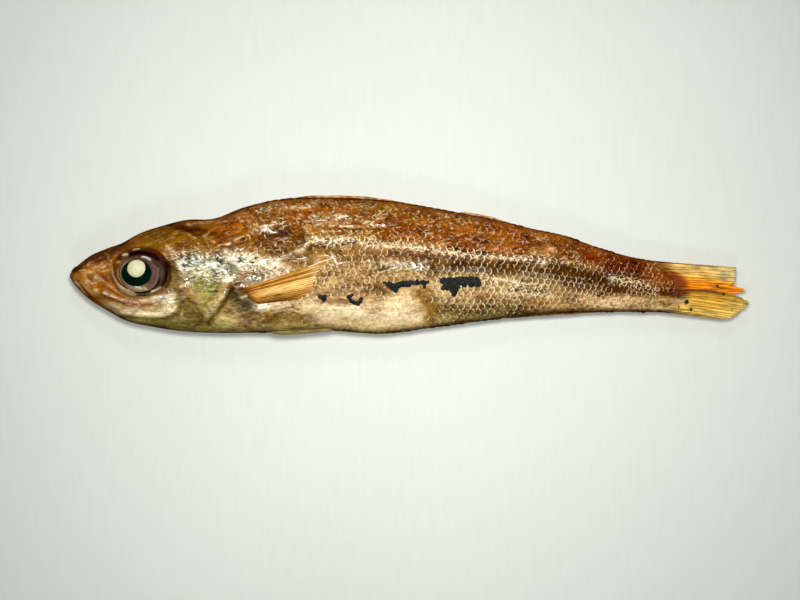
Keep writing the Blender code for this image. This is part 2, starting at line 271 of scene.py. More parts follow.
# Ridges and furrows: points along the crest, half-width, height
RIDGES = {
    "brow": ([(12.5, 3.0), (15.6, 5.0), (20.8, 6.3), (26.2, 5.6), (29.8, 3.0), (30.8, 0.0)], 1.4, 0.5),
    "below the eye": ([(10.2, -7.9), (14.3, -9.9), (19.4, -10.8), (24.4, -10.3), (29.0, -8.2)], 1.1, 0.45),
    "mouth": ([(0.3, -3.4), (2.0, -5.6), (4.4, -7.8), (7.3, -9.8), (10.2, -11.7), (13.2, -13.5),
               (15.4, -14.8)], 0.6, -1.0),
    "upper lip": ([(1.6, -4.2), (4.4, -6.8), (7.3, -8.8), (10.4, -10.7), (13.6, -12.4)], 0.6, 0.4),
    "cheek bone": ([(9.0, -7.6), (12.0, -8.9), (16.3, -10.6), (17.4, -10.9)], 0.4, 0.4),
    "cheek bone groove": ([(8.4, -8.6), (12.0, -10.0), (16.0, -11.6)], 0.45, -0.35),
    "snout bone": ([(3.4, -1.4), (7.6, -1.2), (10.2, -2.8), (12.4, -6.2)], 0.5, 0.35),
    "snout hollow": ([(4.6, -3.2), (8.0, -4.0)], 0.9, -0.3),
    "snout lump": ([(5.4, -5.6), (8.8, -7.2)], 0.8, 0.35),
    "brow groove": ([(9.0, 1.6), (13.6, 4.2), (18.0, 7.2), (24.0, 8.6)], 0.5, -0.3),
    "jaw edge": ([(15.4, -13.9), (20.7, -14.5), (26.6, -14.8), (29.6, -14.1), (31.3, -12.4)], 0.55, 0.55),
    "jaw groove": ([(15.0, -15.0), (21.0, -15.9), (28.0, -16.0), (32.0, -14.4), (33.6, -11.0)], 0.6, -0.45),
    "cheek plates": ([(24.4, -9.6), (26.6, -9.4), (28.4, -9.8), (31.0, -10.6)], 0.8, 0.3),
    "cheek edge": ([(31.4, -12.7), (32.6, -10.2), (33.0, -5.7), (32.5, -1.4), (31.3, 1.0), (29.6, 4.2)],
                   0.9, 0.5),
    "gill cover groove": ([(44.6, -5.4), (42.2, -8.7), (39.9, -11.9)], 0.5, -0.35),
    "gill cover band": ([(46.0, -8.2), (43.2, -11.9), (40.8, -15.2)], 1.2, 0.6),
    "gill opening": ([(48.2, -6.8), (45.9, -10.8), (43.5, -14.3), (41.0, -16.8)], 0.8, -0.9),
    "gill cover fold": ([(35.0, -9.6), (37.2, -12.2), (39.4, -14.8)], 0.45, -0.4),
    "gill cover crease": ([(36.0, -2.2), (42.0, -4.6), (46.6, -4.4)], 0.5, 0.4),
    "temple": ([(44.7, 5.6), (46.6, 6.1), (51.3, 8.5)], 0.8, 0.5),
    "crown": ([(30.5, 4.6), (36.0, 5.4), (42.0, 5.7), (47.0, 6.2), (50.6, 6.8)], 0.5, -0.3),
    "hollow rim": ([(55.4, 1.0), (60.4, 2.2), (64.8, 3.4), (67.8, 4.9), (69.9, 7.0), (70.4, 10.0),
                    (69.6, 12.8)], 1.3, 0.7),
    "lateral ridge": ([(69.6, 6.6), (76.6, 7.5), (90.4, 6.9), (100.1, 6.0), (106.0, 4.6), (114.0, 3.1),
                       (122.0, 2.5), (137.0, 1.9), (144.3, 0.7), (153.0, -1.3), (168.0, -6.3)], 1.8, 0.8),
    "furrow below the ridge": ([(74.0, 2.6), (90.0, 3.4), (109.0, 0.6), (120.8, -0.2), (132.5, -1.3),
                                (144.3, -3.1), (156.0, -5.7)], 2.4, -0.3),
    "flank band": ([(91.3, -0.1), (98.7, 0.1), (104.6, -0.7)], 1.8, 0.45),
    "back furrow": ([(76.6, 11.6), (91.3, 11.0), (106.0, 10.4), (120.7, 8.1), (138.4, 5.7)], 1.3, -0.4),
    "belly fold": ([(73.7, -13.7), (85.4, -13.4), (97.2, -13.7)], 1.5, 0.3),
    "belly end": ([(99.6, -7.8), (103.1, -10.1), (106.0, -13.7), (106.6, -16.6)], 1.8, -0.5),
}

# The hollow behind the head: its middle, its reach both ways, its depth
HOLLOW = ((61.6, 7.5), (8.2, 4.2), 1.1)

# The nostrils: x, y, radius
NOSTRILS = [(10.4, 2.5, 0.55), (12.0, 3.1, 0.5)]
NOSTRIL_DEPTH = 0.6


def smooth_curve(points):
    """A function of x that runs smoothly through the points, with slopes taken from their neighbours."""
    xs, ys = (np.array(column, float) for column in zip(*points))
    slopes = np.gradient(ys, xs)

    def value(x):
        x = np.clip(np.asarray(x, float), xs[0], xs[-1])
        i = np.clip(np.searchsorted(xs, x, side="right") - 1, 0, len(xs) - 2)
        step = xs[i + 1] - xs[i]
        t = (x - xs[i]) / step
        rise = (ys[i + 1] - ys[i]) * t * t * (3 - 2 * t)
        bend = step * (slopes[i] * t * (1 - t) ** 2 - slopes[i + 1] * t * t * (1 - t))
        return ys[i] + rise + bend

    return value


back_at = smooth_curve(BACK)
belly_at = smooth_curve(BELLY)
widest_at = smooth_curve(WIDEST)
half_width_at = smooth_curve(HALF_WIDTH)
middle_at = smooth_curve(MIDDLE)


def smooth_step(t):
    t = np.clip(t, 0, 1)
    return t * t * (3 - 2 * t)


def distance_to_path(x, y, path):
    """Distance from (x, y) to a chain of straight lines, or to a single point."""
    nearest = np.full(np.shape(x), np.inf)
    for (ax, ay), (bx, by) in zip(path, path[1:] or path):
        dx, dy = bx - ax, by - ay
        share = np.clip(((x - ax) * dx + (y - ay) * dy) / max(dx * dx + dy * dy, 1e-9), 0, 1)
        nearest = np.minimum(nearest, np.hypot(x - ax - share * dx, y - ay - share * dy))
    return nearest


def brushed(x, y, path, half):
    """1 on the path, fading away softly over half-width half to both sides."""
    return np.exp(-((distance_to_path(x, y, path) / half) ** 2))


def socket_share(x, y):
    """0 at the middle of the eye, 1 at the rim of its socket."""
    return np.hypot((x - EYE[0]) / SOCKET[0], (y - EYE[1]) / SOCKET[1])


def relief(x, y):
    """Height of bones, folds and hollows above the plain flank."""
    height = np.zeros(np.shape(x))
    for path, half, rise in RIDGES.values():
        height += rise * brushed(x, y, path, half)
    for nx, ny, radius in NOSTRILS:
        height -= NOSTRIL_DEPTH * np.exp(-((np.hypot(x - nx, y - ny) / radius) ** 2))
    (cx, cy), (rx, ry), depth = HOLLOW
    height -= depth * smooth_step(1.3 - np.hypot((x - cx) / rx, (y - cy) / ry))
    height -= SOCKET_DEPTH * smooth_step((SOCKET_EDGE - socket_share(x, y)) / SOCKET_SLOPE)
    return height


def flank_point(x, turn):
    """The skin at x, as (y, z), for a turn in radians from the back over the left side and round."""
    upright, across = np.cos(turn), np.sin(turn)
    power = 2 / SECTION_POWER
    widest = widest_at(x)
    reach = np.where(upright > 0, back_at(x) - widest, widest - belly_at(x))
    y = widest + np.sign(upright) * reach * np.abs(upright) ** power
    bulge = half_width_at(x) * np.abs(across) ** power
    fade = smooth_step(np.abs(across) / EDGE_FADE) * smooth_step(half_width_at(x) / RELIEF_FROM)
    bulge = bulge + relief(x, y) * fade
    z = middle_at(x) + np.sign(across) * bulge
    return y, np.maximum(z, 0.0)


def plain_bulge(x, y):
    """How far the plain flank stands out from the middle plane at (x, y)."""
    widest = widest_at(x)
    reach = np.where(y > widest, back_at(x) - widest, widest - belly_at(x))
    share = np.clip(np.abs(y - widest) / np.maximum(reach, 0.01), 0, 0.999)
    return half_width_at(x) * (1 - share**SECTION_POWER) ** (1 / SECTION_POWER)


def ring_turns(x, count):
    """Turns round the section at x, evenly spaced along the skin, but sparser on the underside."""
    fine = np.linspace(0, 2 * math.pi, 1441)
    y, z = flank_point(np.full(fine.shape, x), fine)
    step = np.hypot(np.diff(y), np.diff(z)) + 1e-4
    step *= np.where(fine[1:] < math.pi, 1.0, UNDERSIDE_SHARE)
    along = np.concatenate([[0], np.cumsum(step)])
    return np.interp(np.linspace(0, along[-1], count + 1), along, fine)


# Colours of smoked skin as the eye sees them
UMBER = (46, 24, 8)
BARK = (96, 52, 10)
RUST = (150, 82, 24)
AMBER = (140, 90, 18)
OCHRE = (150, 104, 40)
TAN = (168, 132, 84)
SAND = (190, 160, 112)
CREAM = (214, 190, 148)
MOSS = (140, 136, 76)
OLIVE = (104, 92, 42)
STRAW = (166, 142, 88)

# The flank from belly to back, as (share of the height, colour), for head, middle and tail
FLANK_BANDS = {
    20.0: [(0, OLIVE), (0.15, STRAW), (0.35, TAN), (0.6, OCHRE), (0.8, AMBER), (0.95, RUST), (1, RUST)],
    85.0: [(0, MOSS), (0.06, STRAW), (0.2, CREAM), (0.38, (178, 144, 94)), (0.55, (146, 108, 60)),
           (0.66, OCHRE), (0.8, AMBER), (0.95, AMBER), (1, RUST)],
    130.0: [(0, OLIVE), (0.08, STRAW), (0.25, TAN), (0.36, SAND), (0.42, STRAW), (0.5, (104, 74, 30)),
            (0.62, RUST), (0.85, RUST), (0.96, RUST), (1, RUST)],
    165.0: [(0, BARK), (0.08, CREAM), (0.22, CREAM), (0.34, BARK), (0.5, BARK), (0.7, AMBER), (0.85, BARK),
            (1, RUST)],
}

# Strokes of colour over the bands, each laid over the ones before it: path, half-width, colour, shine,
# strength. The palest strokes of high shine are painted highlights, and some dark ones in gaps and
# grooves are painted shade.
STROKES = [
    # Snout, mouth and jaw. The palest strokes are painted highlights on the snout, the lip and the cheek
    # bone; the dark lines along the mouth and under the cheek bone, and the gap at the jaw's corner, are
    # painted shade.
    ([(3, -3), (9, -3.5)], 6.5, (150, 95, 36), 0.4, 0.9),
    ([(6, 1.5), (11.9, 3.5), (17, 6)], 1.6, BARK, 0.3, 0.7),
    ([(0, -3.1), (1.2, -2.6)], 1, (100, 74, 24), 0.2, 0.8),
    ([(1.3, -1.5), (3.1, -0.9), (4.9, 0.7)], 0.7, UMBER, 0.1, 0.8),
    ([(4.3, -0.1), (6.6, -0.1)], 0.8, (150, 98, 14), 0.3, 0.6),
    ([(3.1, -1.5), (4.9, -1.3)], 0.28, (206, 160, 104), 0.5, 0.8),
    ([(4.6, -2.2), (5, -4.6)], 0.35, (208, 166, 112), 0.6, 0.75),
    ([(5.4, 0.1), (6.9, 1), (9.6, 2.6)], 0.3, (214, 162, 112), 0.7, 0.85),
    ([(6.6, 0.7), (9, 1.4), (10.1, 2.2)], 0.3, (92, 40, 4), 0.1, 0.8),
    ([(10.6, 3.2), (11.5, 3.1)], 0.45, (232, 190, 148), 0.8, 0.9),
    ([(7.2, 0.1), (10.1, -0.1)], 1, (182, 128, 76), 0.6, 0.7),
    ([(7.2, -0.6), (8.7, -0.1), (10.1, 0.3)], 0.22, (220, 168, 116), 0.6, 0.7),
    ([(8.7, -1.3), (9.9, -0.4), (10.7, -0.3)], 0.22, (226, 176, 128), 0.6, 0.7),
    ([(5.4, -2), (7.5, -1.9)], 0.5, (198, 164, 104), 0.6, 0.75),
    ([(8.2, -3.6), (9.1, -4.2)], 0.75, (232, 196, 176), 0.8, 0.9),
    ([(5.3, -4.4), (5.9, -4.8)], 0.35, (238, 196, 160), 0.8, 0.85),
    ([(6.5, -5), (6.9, -5.3)], 0.35, (240, 196, 160), 0.8, 0.85),
    ([(5.9, -3.9), (7.4, -4.9)], 0.22, (110, 52, 10), 0.2, 0.7),
    ([(7.2, -4.4), (8.4, -5.5)], 0.25, (222, 172, 128), 0.6, 0.7),
    ([(4.9, -4.7), (6, -6.3)], 0.4, (206, 158, 114), 0.6, 0.6),
    ([(8.7, -5.9), (12.5, -6.8)], 1.2, (186, 110, 12), 0.3, 0.9),
    ([(9.4, -3.6), (11.3, -5.4), (13.4, -7.2), (15.1, -8.6)], 0.3, (246, 198, 152), 0.8, 0.9),
    ([(10, -2.6), (11.5, -4.4)], 0.8, (124, 58, 6), 0.2, 0.85),
    ([(9.9, -1.8), (11.6, -1.3)], 0.28, (212, 158, 100), 0.6, 0.7),
    ([(7.6, -7.1), (8.7, -7.8)], 0.45, (238, 188, 150), 0.8, 0.85),
    ([(10.1, -7.1), (12.2, -7.9), (14.3, -9.3)], 0.3, (206, 144, 92), 0.5, 0.7),
    ([(10.7, -8.1), (12.5, -8.9), (15.7, -10.4), (17.2, -11.2)], 0.32, (250, 208, 168), 0.9, 0.95),
    ([(9.3, -7.5), (10.7, -9), (12.5, -10.4)], 0.5, (98, 48, 6), 0.2, 0.7),
    ([(6, -9.6), (8.7, -10.4)], 1.7, (172, 102, 12), 0.3, 0.9),
    ([(1.8, -5), (3.1, -6.6), (4.4, -8.5), (5.7, -10.1)], 0.38, (222, 180, 122), 0.7, 0.85),
    ([(2.3, -5.3), (2.8, -6)], 0.35, (250, 220, 170), 0.9, 0.8),
    ([(2.5, -4.4), (4.3, -6.8), (6.3, -9.3), (8.7, -11), (13.1, -13.9)], 0.3, (96, 50, 14), 0.1, 0.8),
    ([(10.1, -7.1), (12.2, -9.3), (16.9, -11.9)], 0.3, (94, 56, 22), 0.2, 0.6),
    ([(11.3, -11.2), (14.6, -12.6)], 1.3, (186, 156, 108), 0.4, 0.9),
    ([(9, -12.4), (13.5, -15)], 0.7, (176, 142, 94), 0.4, 0.7),
    ([(16.6, -10.1), (19, -11)], 0.45, (226, 170, 140), 0.7, 0.8),
    ([(18.1, -10.8), (20.7, -11.2)], 0.4, (240, 196, 164), 0.8, 0.8),
    ([(22.2, -10.6), (25.1, -10.2), (27.5, -9.4), (30.1, -8.6)], 0.3, (236, 220, 184), 0.8, 0.9),
    ([(16.9, -12.2), (22.5, -12.6)], 0.5, (182, 122, 80), 0.4, 0.6),
    ([(18.1, -12.9), (29, -12.5)], 1.3, (206, 186, 138), 0.6, 0.9),
    ([(15.4, -13.9), (20.7, -14.6), (26.6, -14.9), (29.6, -14.1), (31.3, -12.4)], 0.5,
     (242, 226, 178), 0.8, 0.95),
    ([(15.1, -15), (21, -15.7), (28.1, -15.9), (32.2, -14.3), (33.8, -10.8)], 0.5, (84, 66, 26), 0.2, 0.8),
    ([(24.9, -9.4), (26.9, -9.9)], 0.7, (240, 230, 196), 0.9, 0.9),
    ([(27.9, -10.1), (30.4, -10.5)], 0.95, (248, 242, 214), 1, 0.95),
    ([(27.6, -7.8), (30, -6.4)], 0.9, (146, 116, 74), 0.5, 0.75),
    ([(30.1, -7.5), (31.9, -9.9)], 1, (176, 156, 110), 0.6, 0.6),
    ([(13, -15.2), (17.6, -16.6)], 0.8, (58, 36, 14), 0.2, 0.85),
    ([(17.6, -16.5), (18.5, -16.7)], 0.5, (246, 244, 232), 0.8, 0.9),
    ([(18, -16.8), (32, -17.2), (46, -17.6)], 1.5, (134, 130, 66), 0.3, 0.9),
    ([(29.6, -19), (41, -19.5), (53, -19.6)], 0.35, (206, 190, 138), 0.4, 0.85),
    # Crown and temple, with a painted highlight on the temple
    ([(22, 8.5), (30, 10.5), (40, 10.8)], 2.8, (124, 82, 10), 0.3, 0.9),
    ([(24, 6.5), (33, 7.5), (40, 7.6)], 2.6, (136, 94, 12), 0.35, 0.8),
    ([(29.6, 12.1), (32.5, 10.9), (39.3, 10.3)], 1, (66, 30, 6), 0.2, 0.85),
    ([(34.9, 12.1), (38.4, 12.5), (42.2, 12.9)], 0.45, (196, 146, 104), 0.5, 0.8),
    ([(26, 4.9), (34, 5.4), (44, 6.6), (50, 6.4)], 0.4, (100, 50, 8), 0.3, 0.5),
    ([(35.4, 8.8), (37.6, 8)], 0.28, (206, 156, 96), 0.6, 0.7),
    ([(39.7, 8.6), (41.2, 7.6), (42.9, 6.7)], 0.4, (206, 164, 94), 0.6, 0.75),
    ([(40.4, 9.1), (42.2, 10.4)], 0.28, (200, 148, 88), 0.5, 0.7),
    ([(38.1, 6.3), (39.3, 5.4), (36.9, 5.3)], 0.4, (216, 160, 112), 0.6, 0.7),
    ([(44.1, 5.9), (47.1, 6.4)], 0.35, (250, 232, 202), 0.95, 0.9),
    ([(46.6, 6.4), (50.1, 8), (52.4, 8.9)], 0.5, (216, 168, 116), 0.7, 0.85),
    ([(44.6, 5.6), (47.8, 5.3), (51.9, 7)], 0.35, (104, 48, 4), 0.2, 0.85),
    ([(46.3, 9.4), (47.2, 8.2)], 0.35, (230, 190, 150), 0.8, 0.75),
    ([(46.9, 9.9), (48.1, 9), (50.4, 10)], 0.35, (226, 182, 130), 0.7, 0.75),
    ([(44, 9.5), (51, 11)], 3, (150, 78, 14), 0.35, 0.65),
    ([(43.4, 12.6), (49, 13.5)], 0.6, (196, 142, 98), 0.5, 0.55),
    ([(49, 14.3), (50.1, 13.5), (51.3, 12.6)], 0.4, (226, 178, 142), 0.7, 0.7),
    ([(52.8, 13.4), (53.2, 10.7)], 0.7, (180, 130, 90), 0.5, 0.7),
    ([(54.9, 12.2), (55.7, 9.9)], 0.8, (226, 200, 160), 0.8, 0.7),
    # Behind the eye, the silver cheek and the gill cover; the cheek's white patches are silver skin with a
    # painted reflection on it
    ([(30, 4.1), (31.8, 2.8), (33, 0.3), (33.7, -1.3)], 0.9, (220, 182, 122), 0.8, 0.9),
    ([(30.3, 1.1), (32.1, -1.2)], 0.3, (246, 236, 206), 0.9, 0.7),
    ([(28.4, 4.3), (29, 2.8), (28.7, 1)], 0.35, (214, 178, 140), 0.7, 0.7),
    ([(33.9, 4.4), (33.8, 3.5)], 0.55, (200, 166, 140), 0.7, 0.8),
    ([(32.6, 4.7), (33.4, 2.5)], 0.35, (96, 44, 8), 0.2, 0.7),
    ([(30.1, -1.3), (30.7, -6.6)], 1.9, (108, 86, 46), 0.5, 0.85),
    ([(33, -4), (33.4, -10)], 1.9, (112, 90, 52), 0.6, 0.6),
    ([(34.5, 3), (40, 3.4), (47, 3)], 1.3, (112, 74, 42), 0.7, 0.6),
    ([(34.5, 0.6), (41, 0.3), (47, -0.5)], 3.2, (150, 152, 132), 1, 0.95),
    ([(34.3, 1.3), (34.7, -1)], 0.6, (244, 250, 244), 1, 0.85),
    ([(36.6, 1.9), (38.1, 1.2)], 0.6, (240, 244, 236), 1, 0.8),
    ([(39.3, -0.1), (41, 0.3)], 0.6, (232, 240, 226), 1, 0.7),
    ([(42.6, 0.1), (44.1, -0.9)], 0.8, (236, 246, 226), 1, 0.9),
    ([(44.9, 3.4), (46, 4.3)], 0.5, (240, 236, 220), 1, 0.8),
    ([(45.1, 2), (46.6, 2.1)], 0.35, (82, 86, 60), 0.6, 0.85),
    ([(44.4, -0.1), (47.5, 0.3)], 0.8, (92, 92, 60), 0.7, 0.85),
    ([(35.3, 2.8), (35.6, 0.9)], 0.35, (64, 54, 42), 0.5, 0.8),
    ([(36, -3.5), (44, -4)], 1.8, (170, 168, 138), 0.9, 0.75),
    ([(44.7, -1.5), (46.5, -2.6), (48.2, -3.3)], 0.6, (250, 250, 238), 1, 0.95),
    ([(47.2, -2.2), (49.6, -2.8)], 0.5, (120, 112, 76), 0.7, 0.7),
    ([(38, -5.6), (42.8, -5.8), (40.5, -8.6)], 2.0, (148, 156, 80), 0.5, 0.9),
    ([(32.8, -6.4), (35.4, -4.9), (37.4, -2.8), (36.5, -1.2)], 0.35, (210, 202, 160), 0.8, 0.8),
    ([(33.4, -5.6), (36, -3.7)], 0.3, (84, 72, 36), 0.3, 0.7),
    ([(38.1, -3.7), (40.7, -2.9), (43.1, -4)], 0.28, (206, 208, 160), 0.7, 0.6),
    ([(39.3, -7.5), (41.6, -5.4), (43.7, -4.3)], 0.28, (214, 214, 160), 0.7, 0.6),
    ([(45.4, -4.4), (48.1, -4.2)], 0.55, (246, 236, 206), 0.9, 0.85),
    ([(49, -4.4), (51, -5.1), (53.7, -3.6)], 1.1, (142, 130, 112), 0.9, 0.7),
    ([(36.2, -2.6), (42, -4.8), (46.4, -4.6)], 0.4, (226, 218, 184), 0.9, 0.55),
    ([(48, 1.8), (55, 0.4), (61, -1.5)], 2.6, (244, 232, 204), 1, 0.95),
    ([(54, -4.5), (64, -1.4)], 1.7, (208, 198, 174), 0.9, 0.8),
    # Gill opening and throat, with painted shadow in the gill opening and in the recess behind it
    ([(35, -9.6), (37.2, -12.2), (39.4, -14.8)], 0.4, (66, 58, 10), 0.2, 0.9),
    ([(33.5, -10.5), (35.5, -14)], 1.5, (112, 92, 50), 0.3, 0.8),
    ([(40, -9.5), (39, -13)], 1.2, (140, 128, 62), 0.3, 0.8),
    ([(44.6, -5.4), (42.2, -8.7), (39.9, -11.9)], 0.5, (105, 92, 42), 0.2, 0.7),
    ([(46.0, -8.2), (43.2, -11.9), (40.8, -15.2)], 1.2, (176, 156, 104), 0.5, 0.9),
    ([(46.9, -7.2), (44.6, -10.1)], 0.3, (230, 214, 164), 0.7, 0.7),
    ([(48.2, -6.8), (45.9, -10.8), (43.5, -14.3), (41.0, -16.8)], 0.75, (66, 52, 8), 0.1, 0.9),
    ([(44.9, -14.9), (47, -13.6)], 0.9, (92, 76, 22), 0.2, 0.8),
    ([(49.6, -5.7), (52.2, -8.1), (54.8, -10.4)], 0.7, (84, 40, 10), 0.2, 0.9),
    ([(50, -9), (53.5, -12.4)], 1.8, (62, 50, 20), 0.3, 0.9),
    ([(46, -14.3), (51, -16.6)], 1.6, (206, 184, 128), 0.5, 0.8),
    ([(44, -16.4), (56, -16.2)], 1.6, (172, 150, 92), 0.4, 0.75),
    ([(35.5, -11.5), (38.5, -16)], 2.0, (104, 90, 40), 0.3, 0.8),
    ([(23.4, 5), (26.3, 3.8), (28.4, 1.9), (29.6, -0.1)], 0.7, (112, 58, 12), 0.3, 0.85),
    ([(29.3, 0.4), (29.9, -1.6), (29.9, -4), (28.8, -6.3)], 0.6, (52, 32, 10), 0.1, 0.92),
    # Belly, flank and ridge, as far as the root of the tail; the silver band below the ridge is silvery
    # skin with a painted highlight, and the dark band along the furrow under the ridge is painted shade
    ([(54.0, -12.8), (57.5, -12.6)], 0.7, (255, 250, 226), 0.8, 0.98),
    ([(59.5, -12.2), (72, -11.4)], 0.9, CREAM, 0.5, 0.7),
    ([(58, -15.4), (70, -15.6)], 1.8, (128, 98, 42), 0.3, 0.8),
    ([(55.5, -18.6), (73, -18.6)], 0.8, (148, 132, 84), 0.4, 0.7),
    ([(76, -14.4), (88, -14.8), (102, -14.6)], 3.4, (248, 226, 186), 0.45, 0.92),
    ([(76, -8), (90, -8.6)], 3.2, (160, 122, 76), 0.3, 0.75),
    ([(66, 2.2), (78, 3.4), (92, 3.4), (106, 1.0)], 1.6, (150, 114, 66), 0.12, 0.7),
    ([(77, -16.5), (102, -17.4)], 1.8, (206, 178, 128), 0.4, 0.75),
    ([(62, 7.5)], 7.0, (98, 60, 18), 0.45, 0.85),
    ([(57, 12.5), (68, 13.5)], 2.0, (130, 88, 44), 0.6, 0.5),
    ([(65, 13.5), (70, 15.5)], 2.0, (170, 96, 30), 0.4, 0.6),
    ([(74, 16.0), (100, 14.5), (120, 11.5)], 2.4, (150, 96, 26), 0.5, 0.6),
    ([(96, 11.6), (108, 9.4), (122, 7.2), (136, 5.0)], 2.3, (130, 70, 20), 0.45, 0.88),
    ([(76, 5.0), (86, 5.0)], 1.5, (140, 104, 52), 0.5, 0.5),
    ([(69.6, 6.6), (76.6, 7.5), (90.4, 7.2), (100.1, 6.0), (106.0, 4.7), (114.0, 3.3), (122.0, 2.7),
      (137.0, 2.0), (144.3, 0.9), (153.0, -1.3), (164.0, -5.0)], 1.2, (110, 72, 32), 0.9, 0.82),
    ([(106, 1.2), (118, 0.0), (132, -1.2), (145, -3.4), (160, -7.0)], 1.5, (84, 52, 12), 0.3, 0.85),
    ([(91.5, -0.2), (98.5, 0.0), (104.5, -0.8)], 1.5, (150, 138, 106), 1.0, 0.85),
    ([(122, -5.0), (140, -6.6)], 2.0, (122, 98, 58), 1.0, 0.75),
    ([(103, -8.5), (106.4, -12.5), (106.0, -15.5)], 1.9, (126, 86, 30), 0.2, 0.9),
    ([(108.4, -12.8), (120.7, -12.8), (132.5, -11.9)], 2.2, (98, 74, 32), 0.3, 0.85),
    ([(107.8, -0.1), (120.7, -0.4), (135.4, -1.6)], 2, (98, 66, 24), 0.3, 0.85),
    ([(138.4, -1.3), (148.7, -2.8), (158.4, -5.7)], 2.6, (72, 42, 10), 0.3, 0.9),
    ([(136, -11.2), (150, -10.6)], 1.4, (140, 94, 42), 0.3, 0.75),
    ([(150, -10.0), (168, -10.8)], 1.5, (212, 172, 122), 0.6, 0.85),
    ([(136, 4.2), (142, 2.4)], 1.6, (190, 158, 100), 0.6, 0.6),
    ([(152, 2.0), (168, -1.0)], 1.9, (104, 40, 6), 0.05, 0.9),
    ([(146, -5.6), (160, -7.2)], 1.8, (84, 52, 16), 0.4, 0.8),
    ([(158, -3.2), (172, -7.6)], 1.4, (122, 80, 34), 0.8, 0.6),
    ([(170, -3.5), (178, -6.0)], 2.6, (120, 62, 14), 0.2, 0.7),
    ([(168, -10.5), (178, -11.5)], 1.4, (196, 158, 104), 0.4, 0.6),
    # Painted highlights on the wet patches in the hollow behind the head and along the back, with darker
    # skin between them
    ([(55.7, 10.1), (59, 11.3), (63.1, 13.1)], 1, (128, 96, 62), 1, 0.8),
    ([(55.4, 7.5), (59.6, 8.7), (63.7, 9.3)], 1.6, (88, 52, 10), 0.3, 0.85),
    ([(62.5, 16.6), (67.8, 17.2), (71.3, 17.8)], 0.6, (196, 152, 110), 0.9, 0.8),
    ([(60.1, 13.4), (61.6, 16), (64.9, 18.1)], 0.4, (190, 140, 84), 0.7, 0.7),
    ([(55.4, 15.7), (58.4, 16.9), (60.7, 17.8)], 0.8, (150, 112, 74), 0.9, 0.75),
    ([(63.1, 15.4), (67.8, 15.4), (71.3, 14.9)], 1.2, (128, 62, 8), 0.3, 0.8),
    ([(71.9, 13.7), (76.6, 13.7), (81.3, 14.3)], 1.3, (150, 116, 92), 1, 0.85),
    ([(73.7, 16), (81, 16), (84.3, 16)], 0.7, (118, 58, 6), 0.2, 0.85),
    ([(81.9, 14.3), (85.4, 13.7), (89, 12.8)], 0.9, (152, 102, 48), 1, 0.75),
    ([(73.7, 11.6), (81, 11.6), (89, 11)], 0.35, (226, 186, 140), 1, 0.75),
    ([(74.3, 10.1), (82.5, 10.1), (89, 10.1)], 0.3, (210, 170, 120), 0.9, 0.6),
    ([(74.6, 10.7), (82.5, 10.9), (88.4, 10.6)], 0.35, (110, 58, 10), 0.3, 0.7),
    ([(67.8, 15.1), (69.6, 12.2), (70.7, 9.9)], 0.8, (206, 140, 78), 0.7, 0.7),
    ([(72.5, 19.3), (76.6, 19), (78.4, 18.4)], 0.5, (198, 140, 84), 0.9, 0.6),
    ([(70.1, 18.4), (72.5, 19)], 0.4, (206, 158, 104), 0.9, 0.7),
    ([(83.1, 19), (89, 18.4), (90.7, 15.4)], 1, (130, 88, 34), 0.9, 0.65),
    ([(84.9, 15.4), (87.8, 15.4)], 0.8, (92, 52, 8), 0.2, 0.8),
    ([(87.8, 11.6), (91.3, 14), (93.7, 16.9)], 0.9, (150, 104, 50), 0.9, 0.65),
    ([(92.8, 15.7), (98.7, 15.4), (104.6, 14.3)], 0.6, (108, 62, 14), 0.3, 0.8),
    ([(92.5, 11.6), (97.2, 11.6), (100.7, 11)], 2, (158, 92, 16), 0.4, 0.75),
    ([(92.5, 8.1), (96, 9.9), (99, 9.3)], 1.4, (146, 74, 14), 0.3, 0.7),
    ([(70.7, 4.9), (76.6, 4), (83.1, 4.3)], 1.5, (122, 84, 28), 0.3, 0.8),
    ([(77.2, 2.8), (80.1, 2.8)], 1.6, (96, 66, 28), 0.3, 0.7),
    # The wet crest of the ridge, painted as a pale highlight, and creases towards the tail
    ([(56.6, 0.7), (67.8, 4), (70.1, 6.3), (71.3, 8.1)], 0.55, (250, 234, 204), 1, 0.85),
    ([(70.4, 7.5), (73.7, 7.5), (78.4, 6.6), (81, 7.8), (84.3, 7.5), (89, 5.7), (94.9, 5.4),
      (103.1, 5.1)], 0.7, (190, 156, 106), 1, 0.55),
    ([(65.4, 2.5), (70.7, 4.6), (72.5, 1)], 1, (116, 84, 50), 0.4, 0.6),
    ([(93.1, 3.4), (100.1, 3.1), (105.4, 2.2)], 0.9, (84, 48, 26), 0.3, 0.8),
    ([(112.5, 12.2), (123.7, 11.3), (135.4, 8.7)], 0.6, (112, 60, 14), 0.3, 0.75),
    ([(109, 15.1), (120.7, 14), (129.6, 12.8)], 0.6, (190, 140, 104), 0.9, 0.5),
    ([(136.6, 8.7), (140.1, 7.5), (141.9, 4.6)], 1, (190, 146, 84), 0.8, 0.6),
    ([(140.1, 8.1), (144.3, 5.7), (143.1, 2.2)], 1, (110, 64, 14), 0.3, 0.6),
    ([(109, 3.7), (120.7, 2.8), (132.5, 1.9), (139.9, 0.7)], 0.7, (206, 174, 136), 1, 0.65),
    ([(156, -1.3), (161.9, -1.9), (167.8, -3.4)], 1.5, (92, 40, 12), 0.2, 0.85),
    ([(144.3, 1), (150.1, 0.1), (156, -0.7)], 1, (150, 106, 56), 0.9, 0.6),
    ([(156, 1.3), (163.4, 0.4), (169.3, -0.7)], 0.35, (210, 160, 96), 0.7, 0.7),
    ([(161.3, -4), (167.8, -5.1), (172.2, -6.3)], 0.8, (136, 96, 48), 1, 0.7),
    ([(157.5, -7.2), (164.9, -8.1), (170.7, -8.4)], 1, (92, 56, 16), 0.2, 0.8),
